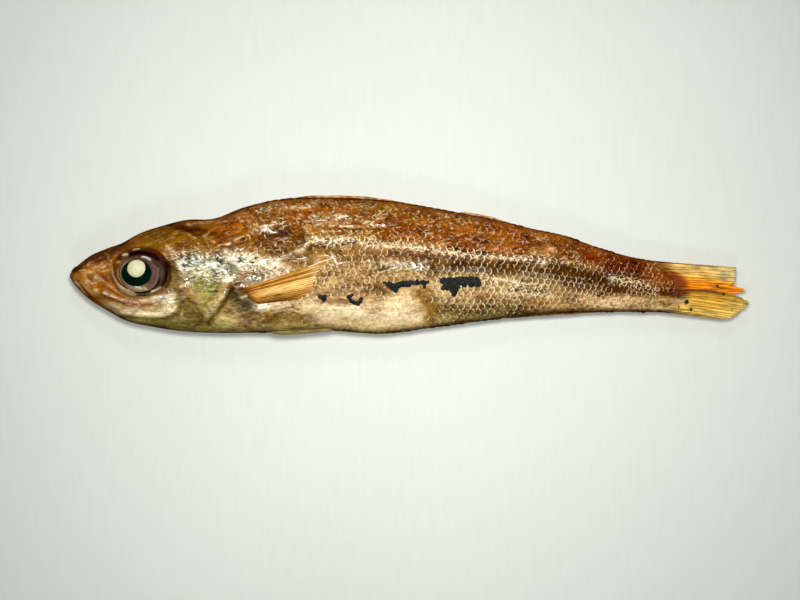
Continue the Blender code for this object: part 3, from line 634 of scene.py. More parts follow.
    ([(112.5, -0.1), (123.7, -0.4), (132.5, -1.3)], 1.2, (72, 46, 12), 0.15, 0.8),
    ([(170.1, -1.9), (176, -3.4), (182.5, -6.3)], 1.3, (136, 66, 12), 0.1, 0.75),
    ([(172.2, -0.1), (178.1, -1)], 0.9, (150, 110, 40), 0.2, 0.7),
    ([(170.1, -10.1), (176, -11.3), (179.6, -12.5)], 1.2, (176, 146, 80), 0.3, 0.7),
    ([(176, -6.9), (182.5, -7.5)], 0.7, (96, 44, 10), 0.5, 0.8),
    ([(54.2, -12.2), (56.6, -11.9), (59, -11.6)], 0.55, (255, 250, 226), 0.9, 0.98),
    ([(63.1, -15.1), (58.4, -16.6)], 1.6, (112, 86, 34), 0.3, 0.7),
    ([(50.1, -5.1), (53.7, -4.3), (56.6, -3.1)], 0.9, (120, 104, 84), 0.8, 0.6),
    ([(81.3, 1), (83.1, -2.8), (84.9, -5.7)], 0.5, (130, 96, 52), 0.3, 0.5),
    ([(156, -9.9), (167.8, -10.4)], 1.1, (186, 146, 92), 0.4, 0.6),
    ([(143.1, -0.1), (150.1, -1.9), (157.2, -4.3)], 1.6, (60, 34, 6), 0.1, 0.8),
    ([(157.2, 1), (167.8, -0.7)], 1.4, (96, 36, 6), 0.05, 0.8),
    ([(154.9, -6.3), (163.7, -7.2)], 1.2, (98, 60, 18), 0.15, 0.8),
    # Second touches on the cheek, the jaw and the gill cover; the palest are painted highlights
    ([(31, -0.7), (31.6, -3.7), (31.3, -6.6)], 1.1, (108, 86, 48), 0.15, 0.8),
    ([(29, 5.4), (30.7, 4), (32.2, 2.2)], 0.8, (198, 164, 110), 0.8, 0.8),
    ([(27.5, 4.3), (29, 2.2)], 0.45, (170, 124, 70), 0.6, 0.7),
    ([(29.6, 2.2), (31.3, -0.1), (32.5, -2.2)], 0.5, (158, 128, 82), 0.6, 0.6),
    ([(31.9, 1), (33.1, -1.3)], 0.6, (222, 222, 196), 1, 0.8),
    ([(26.9, -9), (31, -8.4)], 0.5, (226, 210, 170), 0.8, 0.8),
    ([(28.4, -10.4), (30.4, -10.1)], 0.9, (236, 228, 196), 0.9, 0.85),
    ([(10.4, -8.1), (14.9, -9.9), (17.8, -10.7)], 0.45, (232, 178, 132), 0.8, 0.85),
    ([(17.2, -11.3), (23.7, -11.3), (28.1, -11)], 0.7, (198, 160, 118), 0.5, 0.7),
    ([(16.6, -12.8), (22.5, -14), (26.6, -14), (30.1, -12.8)], 0.5, (240, 224, 180), 0.8, 0.85),
    ([(11.9, -11), (15.4, -12.5)], 0.9, (206, 180, 132), 0.4, 0.75),
    ([(19.6, -9.9), (23.7, -10.4)], 0.35, (228, 160, 124), 0.7, 0.7),
    ([(9, -6), (12.5, -7.5), (16, -9.3)], 0.4, (150, 84, 20), 0.2, 0.7),
    ([(35.4, -5.7), (38.4, -3.4), (41.3, -1.3)], 0.45, (190, 186, 146), 0.8, 0.6),
    ([(38.4, -6.6), (41.9, -3.7), (44.9, -2.5)], 0.45, (196, 196, 150), 0.8, 0.6),
    ([(46.6, 0.4), (48.4, -0.7), (47.2, -1.9)], 0.9, (84, 84, 54), 0.5, 0.7),
    ([(51.9, 2.2), (56.6, 1.3), (61.9, 0.7)], 0.9, (250, 238, 210), 1, 0.85),
    ([(50.1, -0.7), (54.9, -1.9), (58.4, -1.9)], 0.7, (120, 104, 80), 0.7, 0.6),
    # Second touches on the flank and the belly, with the ridge's painted highlight and painted shade in
    # the recess behind the gill cover
    ([(44.9, -15.4), (50.1, -16.6), (56.6, -17.8)], 1, (178, 156, 100), 0.4, 0.7),
    ([(67.8, 1), (73.7, 2.2), (78.4, 1)], 1, (138, 108, 62), 0.4, 0.6),
    ([(87.2, -7.2), (90.1, -6.6), (92.5, -7.8)], 1, (96, 68, 30), 0.2, 0.7),
    ([(90.7, 0.4), (93.1, -0.7)], 0.9, (86, 66, 34), 0.4, 0.7),
    ([(103.1, 1), (109, -0.1)], 1, (112, 84, 50), 0.4, 0.6),
    ([(105.4, -7.2), (107.2, -10.1), (106, -13.7)], 1.1, (130, 96, 40), 0.2, 0.7),
    ([(126.6, 1), (138.4, -0.7), (147.2, -3.7)], 1.1, (84, 52, 14), 0.2, 0.75),
    ([(109, -10.1), (117.8, -11.3), (126.6, -11)], 0.7, (176, 146, 98), 0.4, 0.6),
    ([(76.6, -7.2), (82.5, -7.8)], 1.6, (186, 156, 112), 0.4, 0.6),
    ([(70.1, 8.1), (81, 7.8), (89, 5.7), (94.9, 5.4), (103.1, 5.1), (111.9, 3.7), (126.6, 2.2),
      (139.9, 0.7)], 0.42, (240, 208, 168), 1, 0.65),
    ([(70.7, 7.2), (76.6, 6.6), (81, 6.6)], 0.9, (226, 204, 160), 0.9, 0.6),
    ([(48.4, -9.6), (51, -11.3), (53.7, -12.8)], 1.9, (72, 58, 26), 0.3, 0.85),
    ([(50.7, -9.6), (52.2, -9)], 0.35, (226, 220, 184), 0.6, 0.85),
    ([(49, -6.3), (50.4, -6.3)], 0.4, (230, 216, 188), 0.8, 0.8),
    ([(103.1, -1.9), (106, -3.1), (109, -1.9)], 1, (118, 86, 50), 0.4, 0.6),
    ([(120.1, -2.8), (126.6, -4.3), (132.5, -5.4)], 0.5, (224, 208, 170), 1, 0.7),
    ([(126.6, -7.5), (134, -8.4), (140.7, -9)], 0.5, (214, 192, 150), 1, 0.6),
    ([(155.4, -9.9), (161.9, -9.6), (168.4, -9.9)], 0.9, (184, 140, 92), 0.8, 0.7),
    # Last touches on the snout and the jaw; the palest are painted highlights below the eye
    ([(8.1, 1.9), (11.9, 3.7), (16, 5.1)], 1.1, (90, 52, 10), 0.3, 0.65),
    ([(17.8, 6.3), (20.7, 6.6), (24.3, 7.5)], 1.1, (104, 72, 14), 0.3, 0.55),
    ([(9, -9.6), (11.3, -10.4)], 0.9, (138, 94, 34), 0.3, 0.7),
    ([(16, -11), (19, -11.9), (23.7, -11.6)], 0.6, (162, 100, 58), 0.4, 0.7),
    ([(18.1, -10.7), (20.1, -10.9)], 0.45, (244, 190, 152), 0.8, 0.85),
    ([(21, -10.4), (23.7, -11), (26, -10.7)], 0.35, (236, 196, 150), 0.8, 0.75),
    # A darker back and rear flank
    ([(88, 14.5), (118, 11.5), (150, 4.5), (172, -1.5)], 4.0, (74, 34, 6), 0.3, 0.1),
    ([(118, -5), (150, -8.5), (172, -9.5)], 4.0, (96, 62, 30), 0.35, 0.08),
]
PLAIN_SHINE = 0.35

# The dark rim of the body, partly its own darker skin and partly painted shade, wider at the belly
# where the underside lies in shade, and the dry strip beside it that has no gloss
EDGE_DARK_AND_SHADE = 0.7
EDGE_WIDTH = 0.4
BELLY_SHADE_WIDER = 2.2
DRY_EDGE = 2.4

# Smooth skin: the head as far as the cheek, and the plump part of the belly
SMOOTH_HEAD_END = 36
SMOOTH_HEAD_FADE = 10
SMOOTH_BELLY = [(72, -14.5), (103, -14.5)]
SMOOTH_BELLY_HALF = 4

# The wrinkles' height on the body, and what the head and the cheek have more
WRINKLE_RISE = 0.05
HEAD_WRINKLE_RISE = 0.13
CHEEK_WRINKLE_RISE = 0.12
CHEEK = [(35, 0), (58, 0)]
CHEEK_HALF = 4.5
WAVE_RISE = 0.22


def band_colour(bands, share):
    """The colour at share along bands of (stop, colour)."""
    stops, colours = zip(*bands)
    return np.stack([np.interp(share, stops, channel) for channel in zip(*colours)], -1)


def mixed(colour, other, share):
    """Colours that run from colour to other as share, a number for each point, goes from 0 to 1."""
    share = share[:, None]
    return colour * (1 - share) + np.array(other) * share


def linear(colours):
    """Colours seen in daylight, 0 to 255, as the linear numbers that a material takes."""
    return (np.clip(colours, 0, 255) / 255) ** 2.2


def skin_colour(x, y):
    """Colour of the smoked skin at (x, y), its shine from 0, matt, to 1, foil, and its wetness.

    Both flanks have the same. The colour holds painted highlights, and painted shade at the outline.
    The wetness is 1 but falls to 0 at the dry back and keel.
    """
    share = np.clip((y - belly_at(x)) / np.maximum(back_at(x) - belly_at(x), 0.1), 0, 1)
    places = np.array(list(FLANK_BANDS))
    banded = np.array([band_colour(bands, share) for bands in FLANK_BANDS.values()])
    spot = np.interp(x, places, np.arange(len(places)))
    low = np.clip(spot.astype(int), 0, len(places) - 2)
    rows = np.arange(len(x))
    colour = mixed(banded[low, rows], banded[low + 1, rows], smooth_step(spot - low))
    shine = np.full(len(x), PLAIN_SHINE)
    for path, half, stroke, gloss, strength in STROKES:
        cover = strength * brushed(x, y, path, half)
        colour = mixed(colour, stroke, cover)
        shine += (gloss - shine) * cover
    # The outline is darkened towards umber: partly the skin's own darker edge, partly painted shade
    inside = np.minimum(y - belly_at(x), back_at(x) - y)
    wider = np.where(share < 0.5, BELLY_SHADE_WIDER, 1.0)
    edge = np.exp(-((np.maximum(inside, 0) / wider / EDGE_WIDTH) ** 2))
    return linear(mixed(colour, UMBER, EDGE_DARK_AND_SHADE * edge)), shine, smooth_step(inside / DRY_EDGE)


def hide_colour(x, y):
    """Colour of the skin at (x, y) in daylight, for pieces that grow out of it."""
    return skin_colour(x, y)[0] ** (1 / 2.2) * 255


def calm_at(x, y):
    """1 where the skin is smooth, on the head and the plump belly, and 0 where it is rough."""
    head = smooth_step((SMOOTH_HEAD_END - x) / SMOOTH_HEAD_FADE)
    return np.maximum(head, brushed(x, y, SMOOTH_BELLY, SMOOTH_BELLY_HALF))


def paint(mesh, **layers):
    """Stores values at the mesh's points: three numbers a point for a colour, one for a plain value."""
    for name, values in layers.items():
        if values.ndim == 2:
            layer = mesh.attributes.new(name, "FLOAT_COLOR", "POINT")
            layer.data.foreach_set("color", np.column_stack([values, np.ones(len(values))]).ravel())
        else:
            layer = mesh.attributes.new(name, "FLOAT", "POINT")
            layer.data.foreach_set("value", values.astype(np.float32))


def points_of(mesh):
    """The mesh's points in millimetres, with x counted from the snout."""
    flat = np.zeros(len(mesh.vertices) * 3)
    mesh.vertices.foreach_get("co", flat)
    points = flat.reshape(-1, 3) / MM
    points[:, 0] += LENGTH / 2
    return points


def to_frame(points):
    """Points in millimetres from the snout, as metres in the frame."""
    return (np.asarray(points, float) - (LENGTH / 2, 0, 0)) * MM


def grid_mesh(name, columns, rows, place, sew=False):
    """A grid of quads whose points place(column numbers, row numbers) puts; sew closes a wrapped one."""
    bm = bmesh.new()
    bmesh.ops.create_grid(bm, x_segments=columns, y_segments=rows, size=1)
    spots = np.array([vert.co[:2] for vert in bm.verts])
    spots = np.rint((spots + 1) / 2 * (columns, rows)).astype(int)
    for vert, point in zip(bm.verts, to_frame(place(spots[:, 0], spots[:, 1]))):
        vert.co = point
    if sew:
        bmesh.ops.remove_doubles(bm, verts=bm.verts, dist=0.002 * MM)
        bmesh.ops.holes_fill(bm, edges=bm.edges, sides=0)
        bmesh.ops.recalc_face_normals(bm, faces=bm.faces)
    return mesh_from(bm, name)


def make_piece(name, mesh, material):
    """A piece of the fish from its mesh, riding on the body."""
    mesh.materials.append(material)
    mesh.shade_smooth()
    piece = bpy.data.objects.new(name, mesh)
    bpy.context.scene.collection.objects.link(piece)
    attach(piece, "root")
    return piece


def wrinkle(x, y, z):
    """Height of the skin's dried wrinkles, deepest on the head and the cheek."""
    head = smooth_step((56 - x) / 8)
    cheek = CHEEK_WRINKLE_RISE * brushed(x, y, CHEEK, CHEEK_HALF)
    amount = WRINKLE_RISE + HEAD_WRINKLE_RISE * head + cheek
    amount *= smooth_step((socket_share(x, y) - 0.95) / 0.2)
    points = np.stack([x * 0.75, y * 1.25, z * 1.0], -1)
    folds = np.array([noise.ridged_multi_fractal(Vector(p), 0.9, 2.1, 3, 1.0, 1.8) for p in points])
    waves = np.array([noise.noise(Vector((p[0] * 0.16, p[1] * 0.42, p[2] * 0.4))) for p in points])
    return amount * (folds - 1.2) + WAVE_RISE * waves


def skin_mesh():
    """The closed hide: rings of points from the snout back, closer together on the head."""
    stations = [*np.linspace(SNOUT_RING, HEAD_END, HEAD_RINGS, endpoint=False),
                *np.linspace(HEAD_END, PEDUNCLE_END, BODY_RINGS)]
    turns = np.array([ring_turns(x, ROUND_POINTS) for x in stations])
    xs = np.repeat(np.array(stations)[:, None], ROUND_POINTS + 1, axis=1)
    ys, zs = flank_point(xs, turns)
    fade = smooth_step(np.abs(np.sin(turns)) / 0.3) * smooth_step(half_width_at(xs) / RELIEF_FROM)
    rough = wrinkle(xs.ravel(), ys.ravel(), zs.ravel()).reshape(xs.shape) * fade
    zs = np.maximum(zs + np.where(turns < math.pi, 1, -1) * rough, 0.0)

    def place(column, row):
        corner = column % ROUND_POINTS
        ring = np.maximum(row - 1, 0)
        tip = (row == 0)[:, None]
        snout = np.array([0, float(widest_at(0)), float(middle_at(0))])
        return np.where(tip, snout, np.stack([xs[ring, corner], ys[ring, corner], zs[ring, corner]], -1))

    return grid_mesh("skin", ROUND_POINTS, len(stations), place, sew=True)


def skin_material():
    """Browned skin with wrinkles, dark streaks, painted wet glints, and crumpled foil where it shines most.
    """
    material, shader, start = make_material("smoked_skin", Coat_Roughness=0.14, Coat_IOR=1.45,
                                            Specular_IOR_Level=0.0, Roughness=0.8)
    tint = start.painted("tint", "Color")
    shine = start.painted("shine")
    wet = start.painted("wet")
    foil = shine.rise(0.55, 1.0)
    rough = 1 - start.painted("calm") * 0.55
    blotch = start.grain(start.place((0.5, 1, 1)), 4.2, 3.0)
    crinkle = start.grain(start.place((0.7, 1.1, 1), 0.3), 1.8, 3.0, 0.6, 0.8)
    fibre = start.grain(start.place((0.35, 1.3, 1)), 0.8, 2.0, 0.5, 0.6)
    crumple = start.grain(start.place((0.8, 1.25, 1), -0.45), 3.2, 1.5, 0.5, 0.7).rise(0.4, 0.58)
    grains = (crinkle - 0.5) * (1.7 + foil * 0.4) + (fibre - 0.5) * 1.6
    # On foil the crumples are painted lighter and darker in the colour, as reflection and shade
    tone = (0.87 + (blotch - 0.5) * 1.1 + grains * rough + foil * (crumple - 0.62) * 0.7
            - start.cracks() * (0.3 + foil * 0.5) * rough)
    # Painted glints: short pale dashes mixed into the colour where the skin shines, whiter on foil
    painted_glint = start.dashes(shine * 0.06 - 0.02) * shine.rise(0.1, 0.9) * wet * 0.8
    pale = (0.35 + shine * 0.5).between(tint, foil.between(shade(255, 236, 198), shade(246, 248, 234)))
    stain = (1 - blotch.rise(0.35, 0.62)) * (1 - foil * 0.7) * 0.7
    ground = tint.dim(tone.rise(-0.3, 2.2) * 2.2).stained(shade(196, 160, 110), stain)
    height = crinkle * 0.6 * rough + crumple * foil * 0.6 + fibre * 0.1
    feed(shader, Base_Color=painted_glint.between(ground, pale), Metallic=foil * 0.2,
         Coat_Weight=shine.rise(0.1, 1.0) * wet * (1 - foil * 0.5), Normal=bumps(start, height, 0.28))
    return material


skin_mesh_made = skin_mesh()
skin_points = points_of(skin_mesh_made)
skin_tint, skin_shine, skin_wet = skin_colour(skin_points[:, 0], skin_points[:, 1])
paint(skin_mesh_made, tint=skin_tint, shine=skin_shine, wet=skin_wet,
      calm=calm_at(skin_points[:, 0], skin_points[:, 1]))
skin = make_piece("skin", skin_mesh_made, skin_material())
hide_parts("fish")

# The scales: thin round plates in staggered rows, rooted towards the head, with a dry free rim behind.
# One plate is shaped once and then set out along the rows of both flanks.

# Spacing along the fish and round it, and the size of a plate, where the body is thickest
SCALE_PITCH = 2.1
ROW_PITCH = 1.95
SCALE_RADIUS = 1.5
SCALE_STRETCH = 0.95
SCALE_SIDES = 20
PLATE_THICKNESS = 0.06
RIM_WIDTH = 0.17
THICKEST_GIRTH = 45.0
SIZE_FALL = 0.45

# Rows of scales on each half of a flank that are tried, many more than there is room for
HALF_ROWS = 60

# Columns of scales run from the head to the tail. They begin later on the belly, and end latest along
# the middle of the tail's root
SCALES_FROM = 52.0
SCALES_TO = 177.5
BELLY_START_LATER = 3.2
SCALES_END = 170.5
ROOT_END_LATER = 6.5
ROOT_LINE = -5.5
EDGE_MARGIN = 0.9

# Where the columns crowd together: x, spread, share by which they are closer
CROWDED = (84.0, 9.0, 0.3)

# How far a plate's free rim lifts and its root sinks into the skin, its dome, its sideways tilt, and the
# most that it may stand out of the flank
RIM_LIFT = 0.15
ROOT_SINK = 0.22
DOME = 0.05
TILT_SPREAD = 0.035
PROUD = 0.22
SCALE_SEED = 11

# Edges of a plate that are steeper than this many degrees stay crisp
SHARP_FROM = 50

# How strongly the pale rims, partly painted highlight, show: path, half-width, strength
RIM_STROKES = [
    ([(112, -2), (150, -4)], 6.0, 1.0),
    ([(112, -9), (134, -8)], 5.0, 0.85),
    ([(78, -5), (96, -3)], 6.0, 0.6),
    ([(76, -13), (102, -15)], 3.5, 0.12),
    ([(58, -14), (74, -16)], 4.0, 0.1),
    ([(72, 14), (96, 13), (124, 8), (150, 4)], 4.5, 0.22),
    ([(75, 7.2), (100, 6.2), (122, 2.6), (150, 0.0), (166, -6)], 1.6, 1.0),
    ([(154, -4), (170, -7)], 3.0, 0.8),
    ([(143, -0.1), (157, -4.3)], 1.8, 0.45),
    ([(52, 12), (68, 14)], 5.0, 0.3),
    ([(152, -10.5), (172, -11.5)], 1.6, 0.7),
]
PLAIN_RIM = 0.5

# Where the scales lie flattest: path, half-width, share of their relief that is lost
FLAT_STROKES = [
    ([(72, -12), (102, -15)], 6.0, 0.85),
    ([(56, -14), (74, -16)], 5.0, 0.8),
    ([(62, -2), (74, -4)], 5.0, 0.6),
    ([(60, 8)], 8.0, 0.6),
    ([(72, 14), (96, 13), (124, 8), (150, 4)], 4.5, 0.65),
    ([(154, -10.5), (172, -11.5)], 2.5, 0.7),
]


def stroke_cover(strokes, x, y, plain):
    """A value over the flank: plain, with strokes of (path, half-width, value) laid over it."""
    value = np.full(len(x), float(plain))
    for path, half, amount in strokes:
        value += (amount - value) * brushed(x, y, path, half)
    return value


def scale_plate():
    """One scale as (points, faces): a domed fan of faces with a rim round it, a wall and a flat back."""
    bm = bmesh.new()
    bmesh.ops.create_circle(bm, cap_ends=True, segments=SCALE_SIDES, radius=1.0)
    inset = bmesh.ops.inset_region(bm, faces=bm.faces[:], thickness=RIM_WIDTH, use_even_offset=True)
    inner = [face for face in bm.faces if face not in inset["faces"]]
    bmesh.ops.poke(bm, faces=inner)
    rim = [edge for edge in bm.edges if edge.is_boundary]
    wall = bmesh.ops.extrude_edge_only(bm, edges=rim)
    low = [item for item in wall["geom"] if isinstance(item, bmesh.types.BMVert)]
    bmesh.ops.translate(bm, verts=low, vec=(0, 0, -PLATE_THICKNESS))
    bmesh.ops.contextual_create(bm, geom=[e for e in bm.edges if e.is_boundary])
    bmesh.ops.recalc_face_normals(bm, faces=bm.faces)
    bmesh.ops.scale(bm, verts=bm.verts, vec=(1, SCALE_STRETCH, 1))
    points = np.array([vert.co for vert in bm.verts])
    faces = [[vert.index for vert in face.verts] for face in bm.faces]
    bm.free()
    return points, faces


def scale_spots(side, draw):
    """Where the scales of one flank sit: rows of (x, turn round the section, size, tone)."""
    spots = []
    fine = np.linspace(0, math.pi, 721)
    row_tones = draw.uniform(0, 1, 2 * HALF_ROWS)
    x = SCALES_FROM
    column = 0
    while x < SCALES_TO:
        y, z = flank_point(np.full(fine.shape, x), fine)
        along = np.concatenate([[0], np.cumsum(np.hypot(np.diff(y), np.diff(z)))])
        size = (along[-1] / THICKEST_GIRTH) ** SIZE_FALL
        middle = np.interp(math.pi / 2, fine, along)
        rows = np.arange(-HALF_ROWS // 2, HALF_ROWS // 2) * 2 + column % 2
        reach = middle + rows * ROW_PITCH * size
        inside = (reach > EDGE_MARGIN) & (reach < along[-1] - EDGE_MARGIN)
        turns = np.interp(reach[inside], along, fine)
        tones = row_tones[rows[inside] + HALF_ROWS]
        turns = turns if side > 0 else 2 * math.pi - turns
        spots += [(x, turn, size, tone) for turn, tone in zip(turns, tones)]
        centre, spread, less = CROWDED
        x += SCALE_PITCH / 2 * size * (1 - less * math.exp(-(((x - centre) / spread) ** 2)))
        column += 1
    return np.array(spots)


def scales_mesh(name, side, seed):
    """The scales of one flank: plates laid on the skin, tilted so that their free rims stand up."""
    plate, faces = scale_plate()
    draw = np.random.default_rng(seed)
    x, turn, size, row_tone = scale_spots(side, draw).T
    y = flank_point(x, turn)[0]
    first = SCALES_FROM + BELLY_START_LATER * smooth_step((4 - y) / 10)
    last = SCALES_END + ROOT_END_LATER * np.exp(-(((y - ROOT_LINE) / 3.5) ** 2))
    keep = (x > first + draw.normal(0, 0.5, len(x))) & (x < last + draw.normal(0, 1.1, len(x)))
    x, turn, size, row_tone = x[keep], turn[keep], size[keep], row_tone[keep]
    x = x + draw.normal(0, 0.06, len(x))

    def skin_at(x, turn):
        y, z = flank_point(x, turn)
        return np.stack([x, y, z], -1)

    centre = skin_at(x, turn)
    back = skin_at(x + 0.6, turn) - skin_at(x - 0.6, turn)
    back /= np.linalg.norm(back, axis=1)[:, None]
    down = skin_at(x, turn + 0.03) - skin_at(x, turn - 0.03)
    down -= (down * back).sum(1)[:, None] * back
    down /= np.linalg.norm(down, axis=1)[:, None]
    out = np.cross(down, back)
    out *= np.sign((out * (centre - np.stack([x, widest_at(x), middle_at(x)], -1))).sum(1))[:, None]
    radius = SCALE_RADIUS * size * draw.uniform(0.95, 1.05, len(x))
    relief_left = 1 - stroke_cover(FLAT_STROKES, centre[:, 0], centre[:, 1], 0.0)
    lift = RIM_LIFT * draw.uniform(0.7, 1.3, len(x)) * relief_left
    twist = draw.normal(0, TILT_SPREAD, len(x)) * relief_left
    turned = draw.normal(0, 0.06, len(x))
    ahead, across, up = plate.T
    sunk = ROOT_SINK * (0.35 + 0.65 * relief_left)
    tilt = (lift + sunk)[:, None] * (ahead + 1) / 2 - sunk[:, None]
    dome = DOME * (1 - ahead**2 - across**2) + twist[:, None] * across
    height = tilt + dome + up
    along_x = ahead - turned[:, None] * across
    along_y = across + turned[:, None] * ahead
    points = (centre[:, None]
              + back[:, None] * (radius[:, None] * along_x)[..., None]
              + down[:, None] * (radius[:, None] * along_y)[..., None]
              + out[:, None] * height[..., None])
    points = points.reshape(-1, 3)
    x, y, z = points.T
    hide = middle_at(x) + side * (plain_bulge(x, y) + relief(x, y))
    flat = plain_bulge(x, y) > 0.7 * half_width_at(x)
    over = np.maximum(side * (z - hide) - PROUD, 0) * flat
    points[:, 2] = np.maximum(z - side * over, 0.0)
    count = len(plate)
    mesh = bpy.data.meshes.new(name)
    every = [[corner + count * i for corner in face] for i in range(len(radius)) for face in faces]
    mesh.from_pydata(to_frame(points), [], every)

    # Layers for the material: out grows from a plate's middle to its edge and ahead from its root to its
    # free rim, net says how strongly rims show, tone differs between plates, lean across each plate
    tint, shine, wet = skin_colour(points[:, 0], points[:, 1])
    out = np.tile(np.hypot(ahead, across / SCALE_STRETCH), len(radius))
    net = stroke_cover(RIM_STROKES, points[:, 0], points[:, 1], PLAIN_RIM)
    net *= np.repeat(draw.uniform(0.55, 1.1, len(radius)), count)
    net *= wet
    tone = np.repeat(draw.uniform(0, 1, len(radius)) * 0.6 + row_tone * 0.4, count)
    lean = np.repeat(draw.uniform(-0.5, 0.5, len(radius)), count) * np.tile(across, len(radius))
    paint(mesh, tint=tint, shine=shine, wet=wet, out=out, net=net, tone=tone, lean=lean,
          ahead=np.tile(ahead, len(radius)), calm=calm_at(points[:, 0], points[:, 1]))
    return mesh


def scale_material():
    """Horny plates in the skin's colours, with broken rims that are pale and lit further by a painted
    highlight, painted shade at the roots, painted glints, and foil where they shine.
    """
    material, shader, start = make_material("scale_horn", Coat_Roughness=0.16, Coat_IOR=1.45,
                                            Specular_IOR_Level=0.0, Roughness=0.8)
    tint = start.painted("tint", "Color")
    shine = start.painted("shine")
    wet = start.painted("wet")
    tone = start.painted("tone")
    net = start.painted("net")
    ahead = start.painted("ahead")
    lean = start.painted("lean")
    rough = 1 - start.painted("calm") * 0.6
    rim = start.painted("out").rise(0.73, 0.81) * ahead.rise(0.2, 0.62)
    streak = start.grain(start.place((0.08, 1.1, 1)), 1.7, 1.0)
    foil = shine.rise(0.55, 1.0)
    glossy = shine.rise(0.1, 0.4)
    blotch = start.grain(start.place((0.5, 1, 1)), 4.0, 3.0, 0.6)
    fine = start.grain(start.place((0.6, 1.2, 1), 0.2), 1.1, 1.5, 0.5, 0.6)
    # Painted shadow just behind the free rim of the plate ahead
    shadow = 1 - ahead.rise(-0.4, 0.5)
    grains = (blotch - 0.5) * 1.2 + (streak - 0.5) * 0.9 + (fine - 0.5) * (1.3 + foil * 1.5)
    strength = (0.9 + (grains - start.cracks() * 0.35) * rough + (tone - 0.5) * (0.3 + foil * 0.4)
                - shadow * (0.15 + net * 0.5))
    broken = (start.grain(start.place(), 1.1, 2.0, 0.6) + net * 0.36).rise(0.55, 0.8)
    edge = rim * broken * (0.85 + lean)
    # Painted glints: short pale dashes mixed into the colour where the plates shine
    painted_glint = start.dashes(shine * 0.08 - 0.02) * (0.14 + shine * 0.8) * glossy * wet
    pale = (0.35 + shine * 0.5).between(tint, shade(255, 232, 186))
    stain = (1 - blotch.rise(0.35, 0.62)) * (1 - foil * 0.7) * rough * 0.6
    ground = tint.dim(strength.rise(-0.3, 2.2) * 2.2).stained(shade(196, 160, 110), stain)
    # The rims' colour: the pale dry edge, lightened further as a painted highlight where the plates shine
    rims = (0.34 + shine * 0.54).between(tint, shade(255, 236, 194))
    colour = edge.rise(0.0, 1.0).between(painted_glint.between(ground, pale), rims)
    feed(shader, Base_Color=colour, Metallic=foil * 0.2, Coat_Weight=shine.rise(0.1, 1.0) * wet * 0.22,
         Normal=bumps(start, fine, 0.25))
    return material


scale_look = scale_material()
for side, label in ((1, "left"), (-1, "right")):
    name = f"scales_{label}"
    scales = make_piece(name, scales_mesh(name, side, SCALE_SEED + side), scale_look)
    scales.data.set_sharp_from_angle(angle=math.radians(SHARP_FROM))

# The eyes: a black-green pupil, the cooked white lens that has slipped up in it, a dull violet iris and
# the folded skin that fills the socket. Each is a stack of oval rings that rest in the head.
LENS_MIDDLE = (20.05, -0.95)
LENS_RADII = (2.85, 2.62, 1.3)
EYE_SIDES = 168
SHEET_THICKNESS = 0.25
PUPIL_ROWS = 20

# How deep the lens's middle lies on the left side, and on the right one, where the fish rests on it
LENS_SUNK = {1: 0.15, -1: 1.0}

# Rings from the inside out: middle x, middle y, radius along, radius across, height over the plain flank
PUPIL_RINGS = [(19.9, -2.3, 0.0, 0.0, 0.15), (19.9, -2.3, 2.2, 1.9, 0.08), (19.9, -2.3, 4.4, 3.75, -0.15),
               (19.9, -2.3, 4.9, 4.25, -0.5)]
IRIS_RINGS = [(19.9, -2.3, 4.4, 3.75, -0.35), (19.9, -2.3, 4.55, 3.9, 0.0), (20.1, -2.2, 5.0, 4.45, 0.05),
              (20.6, -2.3, 5.5, 4.9, -0.2), (20.8, -2.4, 6.0, 5.2, -0.7), (20.85, -2.4, 6.3, 5.4, -1.2)]
LID_RINGS = [(20.6, -2.4, 5.6, 4.95, -1.3), (20.65, -2.4, 6.0, 5.3, -0.85), (20.8, -2.35, 6.9, 6.0, -0.75),
             (20.9, -2.2, 8.0, 6.9, -0.95), (20.9, -2.1, 9.1, 7.85, -1.9)]

